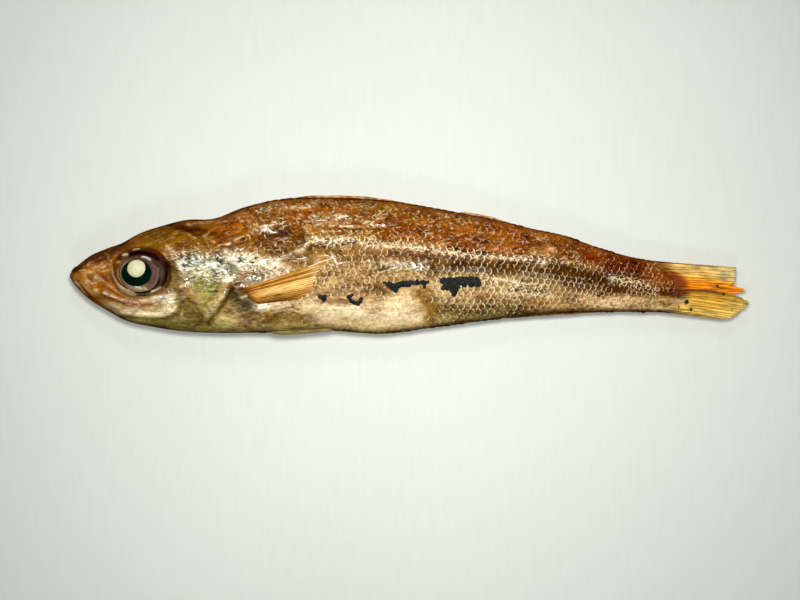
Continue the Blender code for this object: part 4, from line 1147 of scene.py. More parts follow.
# Folds, painted glints and painted shade on the lid and the iris: path, half-width, colour, strength, rise
LID_STROKES = [
    ([(24.3, 4.9), (26.6, 3.4), (28.7, 1.3)], 1, (112, 54, 6), 0.9, 0),
    ([(27.2, 1), (27.9, -1.9), (27.5, -5.4)], 0.9, (62, 44, 38), 0.85, 0),
    # Painted shadow of the brow: the dark crescent between the brow and the eye
    ([(18.1, 3.2), (19.9, 3.7), (22.5, 3.7), (25.1, 2.8), (27.2, 1.3),
      (28.7, -0.7), (29.1, -3.1), (28.4, -5.7)], 0.95, (22, 5, 0), 1.0, -0.4),
    ([(28.7, 0.5), (29.6, -2.5), (29.4, -4.9), (28.1, -6.6)], 1.1, (32, 13, 2), 0.96, -0.2),
    ([(15.1, 2.5), (16.9, 3.1)], 0.3, (30, 12, 4), 0.6, -0.1),
    ([(16.6, 1.9), (18.4, 2.6), (20.7, 2.8)], 0.3, (60, 36, 26), 0.8, -0.1),
    ([(16.4, 4.9), (17.8, 5.4)], 0.25, (190, 168, 116), 0.75, 0.15),
    ([(19, 4.7), (20.6, 5)], 0.28, (226, 206, 160), 0.85, 0.15),
    ([(12.9, 3.5), (14.4, 4.9)], 0.25, (190, 140, 96), 0.6, 0.1),
    ([(13.7, 3.1), (15.3, 4.6)], 0.22, (176, 126, 82), 0.6, 0.1),
    ([(16, 3), (16.7, 3.3)], 0.32, (214, 192, 160), 0.85, 0.15),
    ([(14, 0.8), (15.1, 1.2)], 0.25, (206, 172, 136), 0.8, 0.15),
    ([(14, 2.2), (15.1, 1.9)], 0.5, (74, 28, 14), 0.8, -0.1),
    ([(12.9, 2.8), (12.4, 0.7), (12.5, -1.3), (13.5, -4.3), (15.1, -6.5), (17.2, -7.8)], 0.4,
     (168, 132, 102), 0.8, 0.2),
    ([(13.4, 0.4), (13.5, -1.6), (14.6, -4.3)], 0.7, (104, 52, 8), 0.8, -0.1),
    ([(14.4, -5.6), (16, -6.6), (18.1, -7.2)], 0.3, (222, 196, 168), 0.8, 0.15),
    # Painted shade in the crease below the iris: a black line
    ([(18.7, -7.2), (20.1, -7.9), (22.2, -8), (23.7, -7.5), (24.9, -6.6), (26, -5.4), (26.6, -4.3)], 0.45,
     (14, 8, 2), 1, -0.35),
    ([(14.6, -4.9), (16.6, -6.3), (18.7, -7.2)], 0.22, (70, 44, 18), 0.8, -0.1),
    ([(12.5, -0.1), (12.8, -2.8), (14.3, -5.1), (16.6, -6.8), (19, -7.8)], 0.28,
     (176, 144, 104), 0.8, 0.12),
    ([(14.3, -1.3), (14.6, -3.7), (16, -5.4), (18.1, -6.6)], 0.25, (150, 118, 80), 0.8, 0.1),
    ([(13.4, -0.7), (13.7, -3.4), (15.1, -5.4), (17.2, -6.9)], 0.22, (78, 48, 18), 0.8, -0.1),
    ([(20.1, -8.7), (23.7, -8.7)], 0.22, (54, 42, 18), 0.8, -0.1),
    ([(20.1, -9.6), (23.7, -9.6)], 0.3, (160, 150, 108), 0.8, 0.1),
    ([(26.9, 1), (27.8, -1.3), (27.2, -4.3)], 0.7, (78, 56, 44), 0.7, 0),
    ([(13.4, 1), (14.6, 4), (15.7, 5.1)], 0.3, (142, 102, 74), 0.6, 0.08),
    ([(12.8, 2.2), (14, 4.6), (15.4, 5.7)], 0.3, (74, 40, 10), 0.6, -0.08),
    ([(17.2, 4.9), (19, 5.4), (21.3, 5.4)], 0.35, (164, 144, 88), 0.7, 0.08),
    ([(16, 3.2), (17.1, 3.2)], 0.42, (200, 192, 166), 0.9, 0.12),
    ([(20.1, -8.9), (22.5, -8.9)], 0.2, (26, 20, 10), 0.8, -0.1),
    # A painted glint on the pale patch below the eye
    ([(24.4, -7.6), (25.7, -7.3), (27.1, -6.6)], 0.35, (216, 214, 184), 0.9, 0.15),
    ([(17.2, -8.2), (18.7, -8.8)], 0.4, (170, 160, 120), 0.6, 0.1),
    ([(18.7, -9.6), (23.7, -9.4)], 0.3, (176, 154, 118), 0.7, 0.1),
    ([(17.8, -9), (23.7, -10)], 0.25, (96, 76, 50), 0.5, -0.1),
    ([(15.1, -7.2), (16.9, -9), (18.7, -10.1)], 0.3, (182, 120, 84), 0.7, 0.15),
    ([(26, -7.8), (27.5, -6.6)], 0.6, (96, 74, 48), 0.7, 0),
]
IRIS_STROKES = [
    # A painted glint on the iris under the brow
    ([(21.6, 2.6), (22.8, 2.4), (24.1, 1.7)], 0.3, (252, 252, 240), 1, 0.1),
    ([(24.6, 0.4), (26.2, -0.9), (26.1, -3.2), (25.2, -5.4), (24.0, -6.6)], 0.16,
     (176, 142, 130), 0.7, 0.05),
    ([(15.4, 0.4), (17.2, 2)], 0.25, (170, 150, 140), 0.7, 0),
    # Painted glints along the iris's lower edge
    ([(19.6, -6.2), (21.3, -6.8)], 0.28, (238, 228, 204), 0.8, 0.1),
    ([(22.2, -6.6), (23.1, -7.4)], 0.25, (226, 212, 188), 0.8, 0.1),
    ([(23.7, -7.2), (25.7, -5.4), (26.5, -3.1), (26.5, -0.7)], 0.22, (140, 112, 108), 0.8, 0.1),
    ([(24.9, 1.6), (25.4, -1.3), (25.1, -4.3), (23.7, -6.3)], 0.8, (98, 70, 68), 0.8, 0),
    ([(19, -7.5), (21.3, -7.7), (23.7, -7.1)], 0.25, (190, 168, 146), 0.7, 0.05),
]

# The iris's colours by the distance from its middle
IRIS_MIDDLE = (20.05, -2.0)
IRIS_BANDS = [(3.6, (44, 36, 26)), (4.2, (84, 62, 46)), (4.8, (92, 66, 56)), (5.4, (68, 48, 38)),
              (6.0, (50, 36, 26)), (7.0, (40, 28, 18))]


def rings_mesh(name, rings, rows, side, closed, strokes=()):
    """A dished disc or ring through oval rings, on the left or the right side of the head."""
    parts = [smooth_curve([(i, ring[k]) for i, ring in enumerate(rings)]) for k in range(5)]

    def place(column, row):
        angle = 2 * math.pi * column / EYE_SIDES
        mx, my, along, across, height = (part(row / rows * (len(rings) - 1)) for part in parts)
        x, y = mx + along * np.cos(angle), my + across * np.sin(angle)
        for path, half, _, _, rise in strokes:
            height = height + rise * brushed(x, y, path, half)
        return np.stack([x, y, middle_at(x) + side * (plain_bulge(x, y) + height)], -1)

    mesh = grid_mesh(name, EYE_SIDES, rows, place)
    bm = bmesh.new()
    bm.from_mesh(mesh)
    bmesh.ops.remove_doubles(bm, verts=bm.verts, dist=0.002 * MM)
    if closed:
        bmesh.ops.holes_fill(bm, edges=bm.edges, sides=0)
    bm.normal_update()
    if sum(face.normal.z for face in bm.faces) * side < 0:
        bmesh.ops.reverse_faces(bm, faces=bm.faces)
    bm.to_mesh(mesh)
    bm.free()
    return mesh


def thicken(piece, thickness):
    """Gives a sheet its thickness in millimetres, inwards from its face."""
    wall = piece.modifiers.new("Solidify", "SOLIDIFY")
    wall.thickness = thickness * MM
    wall.offset = -1


def pupil_material():
    """Moist black-green jelly, almost without gloss."""
    material, shader, start = make_material("eye_pupil", Roughness=0.5, Specular_IOR_Level=0.0)
    cloud = start.grain(start.place(), 2.5, 2.0)
    feed(shader, Base_Color=cloud.between(shade(3, 16, 8), shade(10, 36, 26)))
    return material


def lens_material():
    """Cooked white, chalky and faintly pitted."""
    material, shader, start = make_material("eye_lens", Roughness=0.5, Specular_IOR_Level=0.2)
    cloud = start.grain(start.place(), 1.6, 3.0)
    speck = start.grain(start.place(), 0.35, 2.0)
    tone = cloud.rise(0.25, 0.75)
    colour = tone.between(shade(208, 202, 160), shade(222, 217, 182))
    feed(shader, Base_Color=colour, Normal=bumps(start, speck, 0.04))
    return material


def iris_material():
    """Soft streaky skin in painted colours, for the iris and the lid."""
    material, shader, start = make_material("eye_iris", Roughness=0.35, Specular_IOR_Level=0.03)
    tint = start.painted("tint", "Color")
    streak = start.grain(start.place(), 0.9, 3.0, 0.6, 0.8)
    feed(shader, Base_Color=tint.dim(0.4 + streak * 1.2), Normal=bumps(start, streak, 0.14))
    return material


def stroked(colour, strokes, x, y):
    """Daylight colours with the strokes of the lid or the iris laid over them, made linear."""
    for path, half, stroke, strength, _ in strokes:
        colour = mixed(colour, stroke, strength * brushed(x, y, path, half))
    return linear(colour)


def iris_colour(x, y):
    """Grey at the pupil's edge, violet beyond it and brown at the rim, greyer towards the front."""
    colour = band_colour(IRIS_BANDS, np.hypot(x - IRIS_MIDDLE[0], y - IRIS_MIDDLE[1]))
    colour = mixed(colour, (132, 114, 90), 0.7 * smooth_step((19.5 - x) / 3))
    colour = mixed(colour, (172, 150, 116), 0.8 * smooth_step((-5.0 - y) / 2))
    return stroked(colour, IRIS_STROKES, x, y)


def lid_colour(x, y):
    """Grey-brown folds below and in front of the eye, deep brown above and behind it, painted as the shade
    under the brow.
    """
    angle = np.arctan2(y - EYE[1], x - EYE[0])
    out = smooth_step((socket_share(x, y) - 0.7) / 0.25)
    low = smooth_step((-np.sin(angle) - 0.1) / 0.6)
    behind = smooth_step((np.cos(angle) - 0.2) / 0.5)
    colour = mixed(np.array((98, 68, 36)), (134, 110, 76), low)
    rear = mixed(np.array((84, 66, 56)), (96, 60, 22), out)
    colour = mixed(colour, rear, behind)
    return stroked(colour, LID_STROKES, x, y)


pupil_look = pupil_material()
lens_look = lens_material()
iris_look = iris_material()

# Name, rings, strokes, rows of faces, colour
EYE_SHEETS = (
    ("iris", IRIS_RINGS, IRIS_STROKES, 26, iris_colour),
    ("lid", LID_RINGS, LID_STROKES, 40, lid_colour),
)
for side, label in ((1, "left"), (-1, "right")):
    pupil = rings_mesh(f"pupil_{label}", PUPIL_RINGS, PUPIL_ROWS, side, True)
    make_piece(f"pupil_{label}", pupil, pupil_look)
    for part, rings, strokes, rows, colour in EYE_SHEETS:
        mesh = rings_mesh(f"{part}_{label}", rings, rows, side, False, strokes)
        points = points_of(mesh)
        paint(mesh, tint=colour(points[:, 0], points[:, 1]))
        thicken(make_piece(f"{part}_{label}", mesh, iris_look), SHEET_THICKNESS)
    bm = bmesh.new()
    bmesh.ops.create_uvsphere(bm, u_segments=48, v_segments=24, radius=1)
    x, y = LENS_MIDDLE
    z = float(middle_at(x)) + side * (float(plain_bulge(x, y)) - LENS_SUNK[side])
    bmesh.ops.scale(bm, verts=bm.verts, vec=Vector(LENS_RADII) * MM)
    bmesh.ops.translate(bm, verts=bm.verts, vec=to_frame((x, y, z)))
    make_piece(f"lens_{label}", mesh_from(bm, f"lens_{label}"), lens_look)

# The breast fins: fans of rays in dried skin, laid back against the flank behind the gill cover.
# Each fan is a sheet whose ridges are the rays, thickened, with one stray ray at its upper edge.

# The fin's root line and its tip line, from its upper edge to its lower one: share, x, y
FIN_BASE = [(0, 51.6, -6.6), (0.5, 53.0, -9.0), (1, 55.6, -11.4)]
FIN_TIP = [(0, 74.4, 0.8), (0.25, 73.4, -2.2), (0.5, 72.4, -4.8), (0.8, 71.0, -7.7), (1, 67.5, -9.9)]
FIN_RAYS = 15
FORKED_FROM = 0.9
FACES_PER_RAY = 6
FACES_ALONG_RAY = 34
RAY_RISE = 0.13
FIN_THICKNESS = 0.3

# The stray ray: its path, its radius at each point, and how far it stands out of the flank
STRAY_RAY = [(70.5, -0.5), (74.0, 1.0), (77.0, 1.9), (79.6, 2.3)]
STRAY_RADII = [0.2, 0.2, 0.16, 0.06]
STRAY_LIFT = 0.75

# Colours down the fin, from its upper edge to its lower one
FIN_BANDS = [(0, (176, 118, 44)), (0.07, (214, 156, 76)), (0.13, (124, 72, 16)), (0.2, (224, 168, 86)),
             (0.27, (146, 88, 22)), (0.34, (240, 190, 112)), (0.55, (240, 192, 122)),
             (0.72, (190, 138, 62)), (0.88, (140, 94, 30)), (1, (90, 54, 14))]


def ray_pattern(across, along, rays, split_from):
    """1 on the crest of a ray and 0 between rays; each ray forks in two beyond split_from along it."""
    single = 0.5 + 0.5 * np.cos(2 * math.pi * rays * across)
    double = 0.5 + 0.5 * np.cos(4 * math.pi * rays * across)
    part = smooth_step((along - split_from) / 0.25)
    return single * (1 - part) + double * part


def sheet_piece(name, columns, rows, place, colour, material, side, thickness):
    """A thin fin: place(u, v) gives points and ray height, colour(u, v) colours; u runs to the tip."""
    shares = {}

    def put(column, row):
        u, v = column / columns, row / rows
        points, ray = place(u, v)
        shares.update(u=u, v=v, ray=ray)
        return points

    mesh = grid_mesh(name, columns, rows, put)
    paint(mesh, tint=linear(colour(shares["u"], shares["v"])), ray=shares["ray"])
    if sum(face.normal.z for face in mesh.polygons) * side < 0:
        mesh.flip_normals()
    thicken(make_piece(name, mesh, material), thickness)


def fin_material(name, turn):
    """Dried fin skin whose fibres run along the fin, turned by so many radians from the fish's length."""
    material, shader, start = make_material(name, Specular_IOR_Level=0.12)
    tint = start.painted("tint", "Color")
    ray = start.painted("ray")
    cloud = start.grain(start.place((0.5, 1, 1)), 2.4, 3.0)
    fine = start.grain(start.place((0.16, 1.1, 1), turn), 0.6, 2.0, 0.6)
    tone = 0.5 + ray * 0.72 + (cloud - 0.5) * 0.9 + (fine - 0.5) * 1.3
    pale = ray * fine.rise(0.42, 0.58) * 0.7
    lit = tint.dim(1.5).stained(shade(255, 246, 226), 0.5)
    colour = pale.between(tint.dim(tone), lit)
    feed(shader, Base_Color=colour, Roughness=0.5 - ray * 0.12, Normal=bumps(start, fine + ray, 0.08))
    return material


def tube_mesh(name, path, radii, sides=8):
    """A thin rod along a path of frame points, closed at both ends."""
    bm = bmesh.new()
    ring = bmesh.ops.create_circle(bm, segments=sides, radius=1)["verts"]
    ahead = Vector(path[1] - path[0]).normalized()
    for i, (point, radius) in enumerate(zip(path, radii)):
        if i:
            edges = [edge for edge in bm.edges if all(vert in ring for vert in edge.verts)]
            grown = bmesh.ops.extrude_edge_only(bm, edges=edges)["geom"]
            ring = [item for item in grown if isinstance(item, bmesh.types.BMVert)]
            ahead = Vector(path[i] - path[i - 1]).normalized()
        across = ahead.cross(Vector((0, 0, 1))).normalized()
        up = across.cross(ahead)
        for k, vert in enumerate(ring):
            angle = 2 * math.pi * k / sides
            vert.co = Vector(point) + (across * math.cos(angle) + up * math.sin(angle)) * radius * MM
    bmesh.ops.holes_fill(bm, edges=bm.edges, sides=0)
    bmesh.ops.recalc_face_normals(bm, faces=bm.faces)
    return mesh_from(bm, name)


def breast_fin(side, label):
    """One breast fin and its stray ray, laid over the flank."""
    base_x, base_y, tip_x, tip_y = (smooth_curve([(row[0], row[k]) for row in rows])
                                    for rows in (FIN_BASE, FIN_TIP) for k in (1, 2))

    def place(u, v):
        ray = ray_pattern(v, u, FIN_RAYS, FORKED_FROM)
        ragged = 1 - 0.05 * (0.5 + 0.5 * np.sin(61 * v)) * (0.5 + 0.5 * np.sin(23 * v + 1))
        out = u * ragged
        x = base_x(v) * (1 - out) + tip_x(v) * out
        y = base_y(v) * (1 - out) + tip_y(v) * out
        lift = 0.3 + 0.35 * out + RAY_RISE * ray + 0.12 * np.sin(5 * v + 4 * u)
        edge = 1 - smooth_step(np.minimum(v, 1 - v) / 0.06)
        height = plain_bulge(x, y) + relief(x, y) + lift - 0.3 * edge * (1 - u)
        return np.stack([x, y, np.maximum(middle_at(x) + side * height, 0.0)], -1), ray

    def colour(u, v):
        shades = band_colour(FIN_BANDS, v)
        shades = mixed(shades, (186, 108, 22), 0.5 * smooth_step((0.25 - u) / 0.25))
        # Painted shade at the root, in the recess where the fin meets the body
        shades = mixed(shades, (84, 42, 10), 0.6 * np.exp(-((u / 0.05) ** 2)))
        faded = mixed(np.array((236, 204, 150)), (204, 132, 66), smooth_step((v - 0.35) / 0.4))
        shades = mixed(shades, faded, 0.6 * smooth_step((u - 0.72) / 0.3))
        dash = np.exp(-(((u - 0.42) / 0.09) ** 2 + ((v - 0.7) / 0.03) ** 2))
        return mixed(shades, (0, 0, 0), 0.7 * dash)

    rows = FIN_RAYS * FACES_PER_RAY
    sheet_piece(f"breast_fin_{label}", FACES_ALONG_RAY, rows, place, colour, fin_look, side, FIN_THICKNESS)
    x, y = np.array(STRAY_RAY).T
    height = plain_bulge(x, y) + relief(x, y) + STRAY_LIFT
    path = to_frame(np.stack([x, y, np.maximum(middle_at(x) + side * height, 0.3)], -1))
    mesh = tube_mesh(f"stray_ray_{label}", path, STRAY_RADII)
    count = len(mesh.vertices)
    paint(mesh, tint=np.tile(linear((226, 196, 150)), (count, 1)), ray=np.ones(count))
    make_piece(f"stray_ray_{label}", mesh, fin_look)


fin_look = fin_material("breast_fin_skin", 0.33)
for side, label in ((1, "left"), (-1, "right")):
    breast_fin(side, label)

# The belly fins: a narrow pair folded flat along the keel, pale rays in olive skin.
# Each is a sheet of its own, grown out of the skin at its root.
BELLY_FIN_SPAN = (56.0, 77.0)
BELLY_FIN_HEIGHT = 2.4
BELLY_FIN_THICKNESS = 0.4
BELLY_FIN_RAYS = 5
UNFORKED = 2.0
BELLY_FIN_BANDS = [(0, (76, 60, 24)), (0.15, (150, 132, 80)), (0.3, (92, 74, 32)), (0.45, (176, 158, 106)),
                   (0.6, (104, 86, 42)), (0.78, (156, 138, 90)), (1, (96, 78, 38))]


def belly_fin(side, label):
    """One belly fin, folded flat beside the keel."""
    start, end = BELLY_FIN_SPAN

    def place(u, v):
        x = start + (end - start) * u
        ray = 0.25 + 0.4 * ray_pattern(v, u, BELLY_FIN_RAYS, UNFORKED)
        root = 0.9 * (1 - smooth_step(u / 0.3))
        low = belly_at(x) + root - 0.75 * np.sin(math.pi * u**0.7)
        y = low + BELLY_FIN_HEIGHT * (1 - 0.75 * u) * v
        bulge = np.maximum(plain_bulge(x, y) + relief(x, y), 2.2) + 0.12 + 0.14 * ray + 0.15 * u
        bulge -= 0.5 * smooth_step((v - 0.8) / 0.2) + 0.5 * (1 - smooth_step(u / 0.3))
        return np.stack([x, y, middle_at(x) + side * bulge], -1), ray

    def colour(u, v):
        x = start + (end - start) * u
        hide = hide_colour(x, belly_at(x) + 1 + BELLY_FIN_HEIGHT * v)
        return mixed(hide, band_colour(BELLY_FIN_BANDS, v), 0.8 * smooth_step(u / 0.4))

    sheet_piece(f"belly_fin_{label}", 44, 30, place, colour, rear_fin_look, side, BELLY_FIN_THICKNESS)


rear_fin_look = fin_material("fin_skin", -0.04)
for side, label in ((1, "left"), (-1, "right")):
    belly_fin(side, label)

# The back and vent fins: folded down into the edge of the body, so only a low ragged blade shows.
# Each is a standing sheet of dried rays whose foot is sunk in the back or the keel.

# Start and end along x, height, 1 for the back or -1 for the keel, rays, colour of the crest
EDGE_FINS = {
    "back_fin_first": (66.0, 97.0, 0.95, 1, 12, (184, 142, 88)),
    "back_fin_second": (113.4, 129.0, 0.85, 1, 9, (188, 146, 88)),
    "vent_fin": (127.0, 156.0, 0.6, -1, 11, (128, 92, 44)),
}
EDGE_FIN_THICKNESS = 0.4
EDGE_FIN_SINK = 1.6


def edge_fin(name, start, end, rise, edge_side, rays, tint):
    """One low fin along the back or the keel."""
    outline = back_at if edge_side > 0 else belly_at

    def place(u, v):
        slant = u + 0.06 * v
        ray = 0.2 + 0.6 * ray_pattern(slant, v, rays, UNFORKED)
        x = start + (end - start) * u + 1.2 * v
        crest = rise * np.sin(math.pi * np.minimum(u, 0.99) ** 0.8) ** 0.7
        crest = crest * (0.88 + 0.12 * np.sin(17 * u) * np.sin(7 * u))
        y = outline(x) + edge_side * (v * (crest + EDGE_FIN_SINK) - EDGE_FIN_SINK)
        z = middle_at(x) + EDGE_FIN_THICKNESS / 2 + 0.05 * ray - 0.25 * v
        return np.stack([x, y, z], -1), ray

    def colour(u, v):
        x = start + (end - start) * u
        crest = smooth_step((v - 0.68 - 0.08 * np.sin(23 * u) * np.sin(9 * u)) / 0.3)
        crest = crest * smooth_step(np.minimum(u, 1 - u) / 0.2)
        return mixed(hide_colour(x, outline(x) - edge_side), tint, crest)

    sheet_piece(name, rays * 8, 10, place, colour, rear_fin_look, 1, EDGE_FIN_THICKNESS)


for name, sizes in EDGE_FINS.items():
    edge_fin(name, *sizes)

# The tail: two lobes of split rays, the lower one lying over the upper, with broken ragged ends.
# Each lobe is a flat closed body whose two faces grow out of the skin at the root of the tail.

# Root and end: share from the lobe's upper edge to its lower one, x, y. Bands: share, colour. The tip's
# colour reaches down as far as the share tip_until, and lift raises the lobe over the middle plane.
UPPER_LOBE = {
    "root": [(0, 169.5, 1.4), (0.25, 173.5, -1.2), (0.6, 177.0, -4.8), (1, 177.5, -8.4)],
    "end": [(0, 196.5, -0.5), (0.1, 196.6, -1.4), (0.3, 196.4, -3.2), (0.5, 196.3, -5.0),
            (0.6, 196.4, -6.2), (0.625, 198.6, -6.8), (0.68, 198.9, -7.3), (0.74, 198.7, -7.8),
            (0.77, 196.6, -8.2), (0.82, 195.4, -8.7), (1, 193.0, -10.2)],
    "rays": 13, "lift": -0.1,
    "bands": [(0, (130, 92, 30)), (0.05, (224, 186, 108)), (0.3, (236, 190, 104)), (0.42, (240, 176, 70)),
              (0.55, (255, 152, 24)), (0.8, (250, 136, 16)), (1, (208, 106, 6))],
    "tip": (248, 226, 164), "tip_until": 0.52,
}
LOWER_LOBE = {
    "root": [(0, 178.5, -7.2), (0.5, 177.0, -10.4), (1, 172.5, -13.6)],
    "end": [(0, 196.6, -8.9), (0.08, 199.4, -10.2), (0.16, 200.3, -10.9), (0.24, 200.1, -11.5),
            (0.28, 199.0, -11.8), (0.33, 199.3, -12.2), (0.42, 199.2, -12.7), (0.46, 198.1, -13.0),
            (0.55, 197.9, -13.5), (0.6, 197.0, -13.9), (0.7, 196.8, -14.5), (0.75, 195.8, -14.9),
            (0.88, 194.6, -15.6), (1, 191.6, -15.9)],
    "rays": 11, "lift": 0.4,
    "bands": [(0, (84, 48, 8)), (0.05, (140, 88, 12)), (0.14, (222, 162, 48)), (0.5, (240, 184, 70)),
              (0.85, (240, 196, 98)), (1, (140, 110, 46))],
    "tip": (232, 196, 108), "tip_until": 1.1,
}
TAIL_HALF_THICKNESS = 0.2
TAIL_RAY_RISE = 0.16

# The red-brown stain across the tail's root
TAIL_STAIN_COLOUR = (140, 62, 8)
TAIL_STAIN = [(174.0, -2.4), (178.6, -3.6), (181.0, -5.4)]
TAIL_STAIN_HALF = 1.4


def two_faced_fan(name, columns, rows, place, colour, material):
    """A flat closed body: place(u, v, face) puts the points, with face 1 in front and -1 behind."""
    shares = {}

    def put(column, row):
        u, v = 1 - np.abs(column / columns - 1), row / rows
        points, ray = place(u, v, np.sign(columns - column))
        shares.update(u=u, v=v, ray=ray)
        return points

    mesh = grid_mesh(name, 2 * columns, rows, put)
    paint(mesh, tint=linear(colour(shares["u"], shares["v"])), ray=shares["ray"])
    bm = bmesh.new()
    bm.from_mesh(mesh)
    bmesh.ops.remove_doubles(bm, verts=bm.verts, dist=0.002 * MM)
    bmesh.ops.holes_fill(bm, edges=bm.edges, sides=0)
    bmesh.ops.recalc_face_normals(bm, faces=bm.faces)
    bm.to_mesh(mesh)
    bm.free()
    make_piece(name, mesh, material)


def tail_lobe(name, lobe):
    """One lobe, as thick as the body at its root and a thin rayed blade beyond it."""
    root_x, root_y, end_x, end_y = (smooth_curve([(row[0], row[k]) for row in lobe[line]])
                                    for line in ("root", "end") for k in (1, 2))

    def place(u, v, face):
        bent = v + 0.02 * np.sin(5 * u + 19 * v) + 0.012 * np.sin(43 * v)
        ray = ray_pattern(bent, u, lobe["rays"], UNFORKED)
        ray *= 0.75 + 0.25 * np.sin(37 * v + 3 * u)
        out = u * (1 - 0.018 * (1 + np.sin(83 * v + 2) * np.sin(29 * v)))
        bow = 0.9 * np.sin(math.pi * u) * (1 - v) ** 2 * (lobe is LOWER_LOBE)
        x = root_x(v) * (1 - out) + end_x(v) * out
        y = root_y(v) * (1 - out) + end_y(v) * out + bow
        grown = smooth_step(u / 0.14)
        body = plain_bulge(x, y) * (1 - smooth_step((x - PEDUNCLE_END) / 7)) - 0.4 * (1 - grown)
        thin = np.sqrt(np.clip(np.minimum(v, 1 - v) / 0.03, 0, 1))
        half = (np.maximum(body, 0) + TAIL_HALF_THICKNESS + TAIL_RAY_RISE * ray * grown) * thin
        wave = 0.3 * np.sin(0.28 * (x - 170)) * (v - 0.4) + 0.2 * np.sin(9 * v + 5 * u) * u
        free = smooth_step(u / 0.3)
        z = middle_at(x) + lobe["lift"] * free + wave * free + face * half
        return np.stack([x, y, z], -1), ray

    def colour(u, v):
        shades = band_colour(lobe["bands"], v)
        tip = smooth_step((u - 0.55) / 0.4) * (v < lobe["tip_until"])
        shades = mixed(shades, lobe["tip"], 0.6 * tip)
        x, y = root_x(v) * (1 - u) + end_x(v) * u, root_y(v) * (1 - u) + end_y(v) * u
        grown = smooth_step((u - 0.1 - 0.05 * np.sin(31 * v) * np.sin(17 * v)) / 0.2)
        shades = mixed(hide_colour(x, y), shades, grown)
        return mixed(shades, TAIL_STAIN_COLOUR, 0.8 * brushed(x, y, TAIL_STAIN, TAIL_STAIN_HALF))

    two_faced_fan(name, 70, lobe["rays"] * 12, place, colour, rear_fin_look)


tail_lobe("tail_upper", UPPER_LOBE)
tail_lobe("tail_lower", LOWER_LOBE)

# The char: flakes of soot crust burnt on to the flank, black with a dull grey sheen.
# Each mark is a patch of a fine sheet, kept where its listed lumps add up, and thickened.

# The lumps of each mark: x, y, radius
CHAR_MARKS = {
    "char_bar": [(109.6, -4.6, 1.0), (111.4, -4.6, 1.3), (113.4, -4.8, 1.4), (115.4, -4.6, 1.3),
                 (117.4, -4.3, 1.3), (119.4, -4.6, 1.3), (120.2, -5.6, 0.9), (109.8, -6.9, 0.7),
                 (111.6, -6.4, 1.1), (113.4, -7.0, 1.2), (113.0, -8.6, 0.9), (118.2, -5.9, 0.8),
                 (116.0, -6.0, 0.6)],
    "char_streak": [(93.8, -5.6, 1.0), (95.0, -6.6, 1.0), (96.4, -6.0, 1.15), (97.8, -5.3, 0.95),
                    (99.2, -5.6, 0.95), (100.6, -5.1, 0.95), (102.2, -5.0, 0.8), (103.8, -5.0, 0.8),
                    (105.4, -4.9, 0.7), (104.4, -6.4, 0.6), (92.4, -5.0, 0.5), (96.0, -7.4, 0.6)],
    "char_ring": [(82.2, -9.3, 0.7), (82.8, -10.3, 0.7), (83.7, -11.0, 0.7), (84.9, -11.3, 0.75),
                  (85.7, -10.4, 0.7), (85.9, -9.6, 0.5), (83.2, -8.6, 0.6)],
    "char_chip": [(73.8, -9.1, 0.75), (75.2, -9.2, 0.75), (74.9, -10.2, 0.7)],
    "char_tail": [(155.6, -8.9, 0.6), (156.7, -8.3, 0.5), (179.0, -9.2, 0.5), (181.6, -10.8, 0.85),
                  (182.8, -12.9, 0.65), (179.3, -12.2, 0.45), (194.9, -13.1, 0.35), (190.7, -6.0, 0.5),
                  (192.5, -8.4, 0.5), (173.9, -10.7, 0.4), (195.7, -9.9, 0.35), (195.0, -10.7, 0.3)],
    "char_dots": [(85.6, 1.6, 0.45), (90.2, -12.5, 0.3), (113.9, 14.6, 0.6), (52.0, -18.0, 0.35),
                  (187, -10.9, 0.25)],
}
CHAR_GRID = 0.17
CHAR_SKIRT = 1.2
CHAR_THICKNESS = 0.45
CHAR_EDGE = 0.36
CHAR_RAGGED = 0.32
TAIL_CHAR_LIFT = 0.75


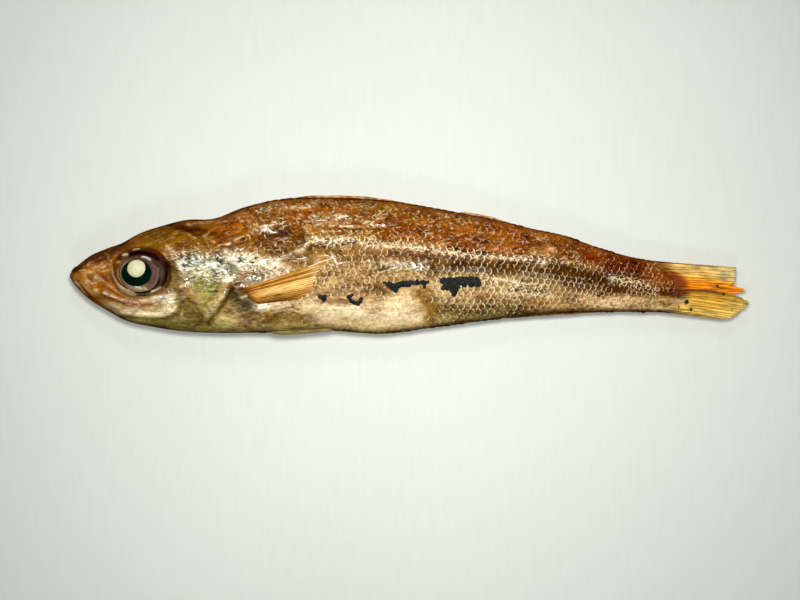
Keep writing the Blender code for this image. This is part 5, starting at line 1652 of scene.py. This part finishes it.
def char_mesh(name, lumps):
    """One mark, cut out of a fine grid over the skin where its lumps add up to enough."""
    lows = [min(lump[k] - lump[2] for lump in lumps) - CHAR_SKIRT for k in (0, 1)]
    spans = [max(lump[k] + lump[2] for lump in lumps) + CHAR_SKIRT - lows[k] for k in (0, 1)]
    columns, rows = (int(span / CHAR_GRID) for span in spans)

    def crust(x, y):
        field = sum(np.exp(-(((x - lx) ** 2 + (y - ly) ** 2) / radius**2)) for lx, ly, radius in lumps)
        rough = np.array([noise.noise(Vector((a * 1.9, b * 2.3, 4.0))) for a, b in zip(x, y)])
        return field + CHAR_RAGGED * rough - CHAR_EDGE

    def place(column, row):
        x, y = lows[0] + spans[0] * column / columns, lows[1] + spans[1] * row / rows
        grain = np.array([noise.noise(Vector((a * 3.1, b * 3.1, 9.0))) for a, b in zip(x, y)])
        body = plain_bulge(x, y) + relief(x, y) + RIM_LIFT
        ground = np.where(x > PEDUNCLE_END - 1, TAIL_CHAR_LIFT, body)
        height = ground + 0.12 + 0.2 * np.clip(crust(x, y), 0, 0.8) + 0.12 * grain
        return np.stack([x, y, middle_at(x) + height], -1)

    mesh = grid_mesh(name, columns, rows, place)
    bm = bmesh.new()
    bm.from_mesh(mesh)
    points = points_of(mesh)
    bare = crust(points[:, 0], points[:, 1]) < 0
    bm.verts.ensure_lookup_table()
    bmesh.ops.delete(bm, geom=[bm.verts[i] for i in np.flatnonzero(bare)], context="VERTS")
    loose = [vert for vert in bm.verts if not vert.link_faces]
    bmesh.ops.delete(bm, geom=loose, context="VERTS")
    for _ in range(2):
        edge = [vert for vert in bm.verts if vert.is_boundary]
        bmesh.ops.smooth_vert(bm, verts=edge, factor=0.5, use_axis_x=True, use_axis_y=True)
    bm.to_mesh(mesh)
    bm.free()
    return mesh


def char_material():
    """Soot crust, black and dull, with greyer, smoother lumps whose grey is partly ash and partly painted
    sheen.
    """
    material, shader, start = make_material("char", Specular_IOR_Level=0.3)
    lump = start.grain(start.place(), 0.8, 4.0, 0.7, 0.6)
    ash_and_sheen = lump.rise(0.5, 0.68)
    feed(shader, Base_Color=ash_and_sheen.between(shade(8, 8, 6), shade(46, 48, 42)), Roughness=0.62 - ash_and_sheen * 0.25,
         Normal=bumps(start, lump, 0.35))
    return material


char_look = char_material()
for name, lumps in CHAR_MARKS.items():
    thicken(make_piece(name, char_mesh(name, lumps), char_look), CHAR_THICKNESS)
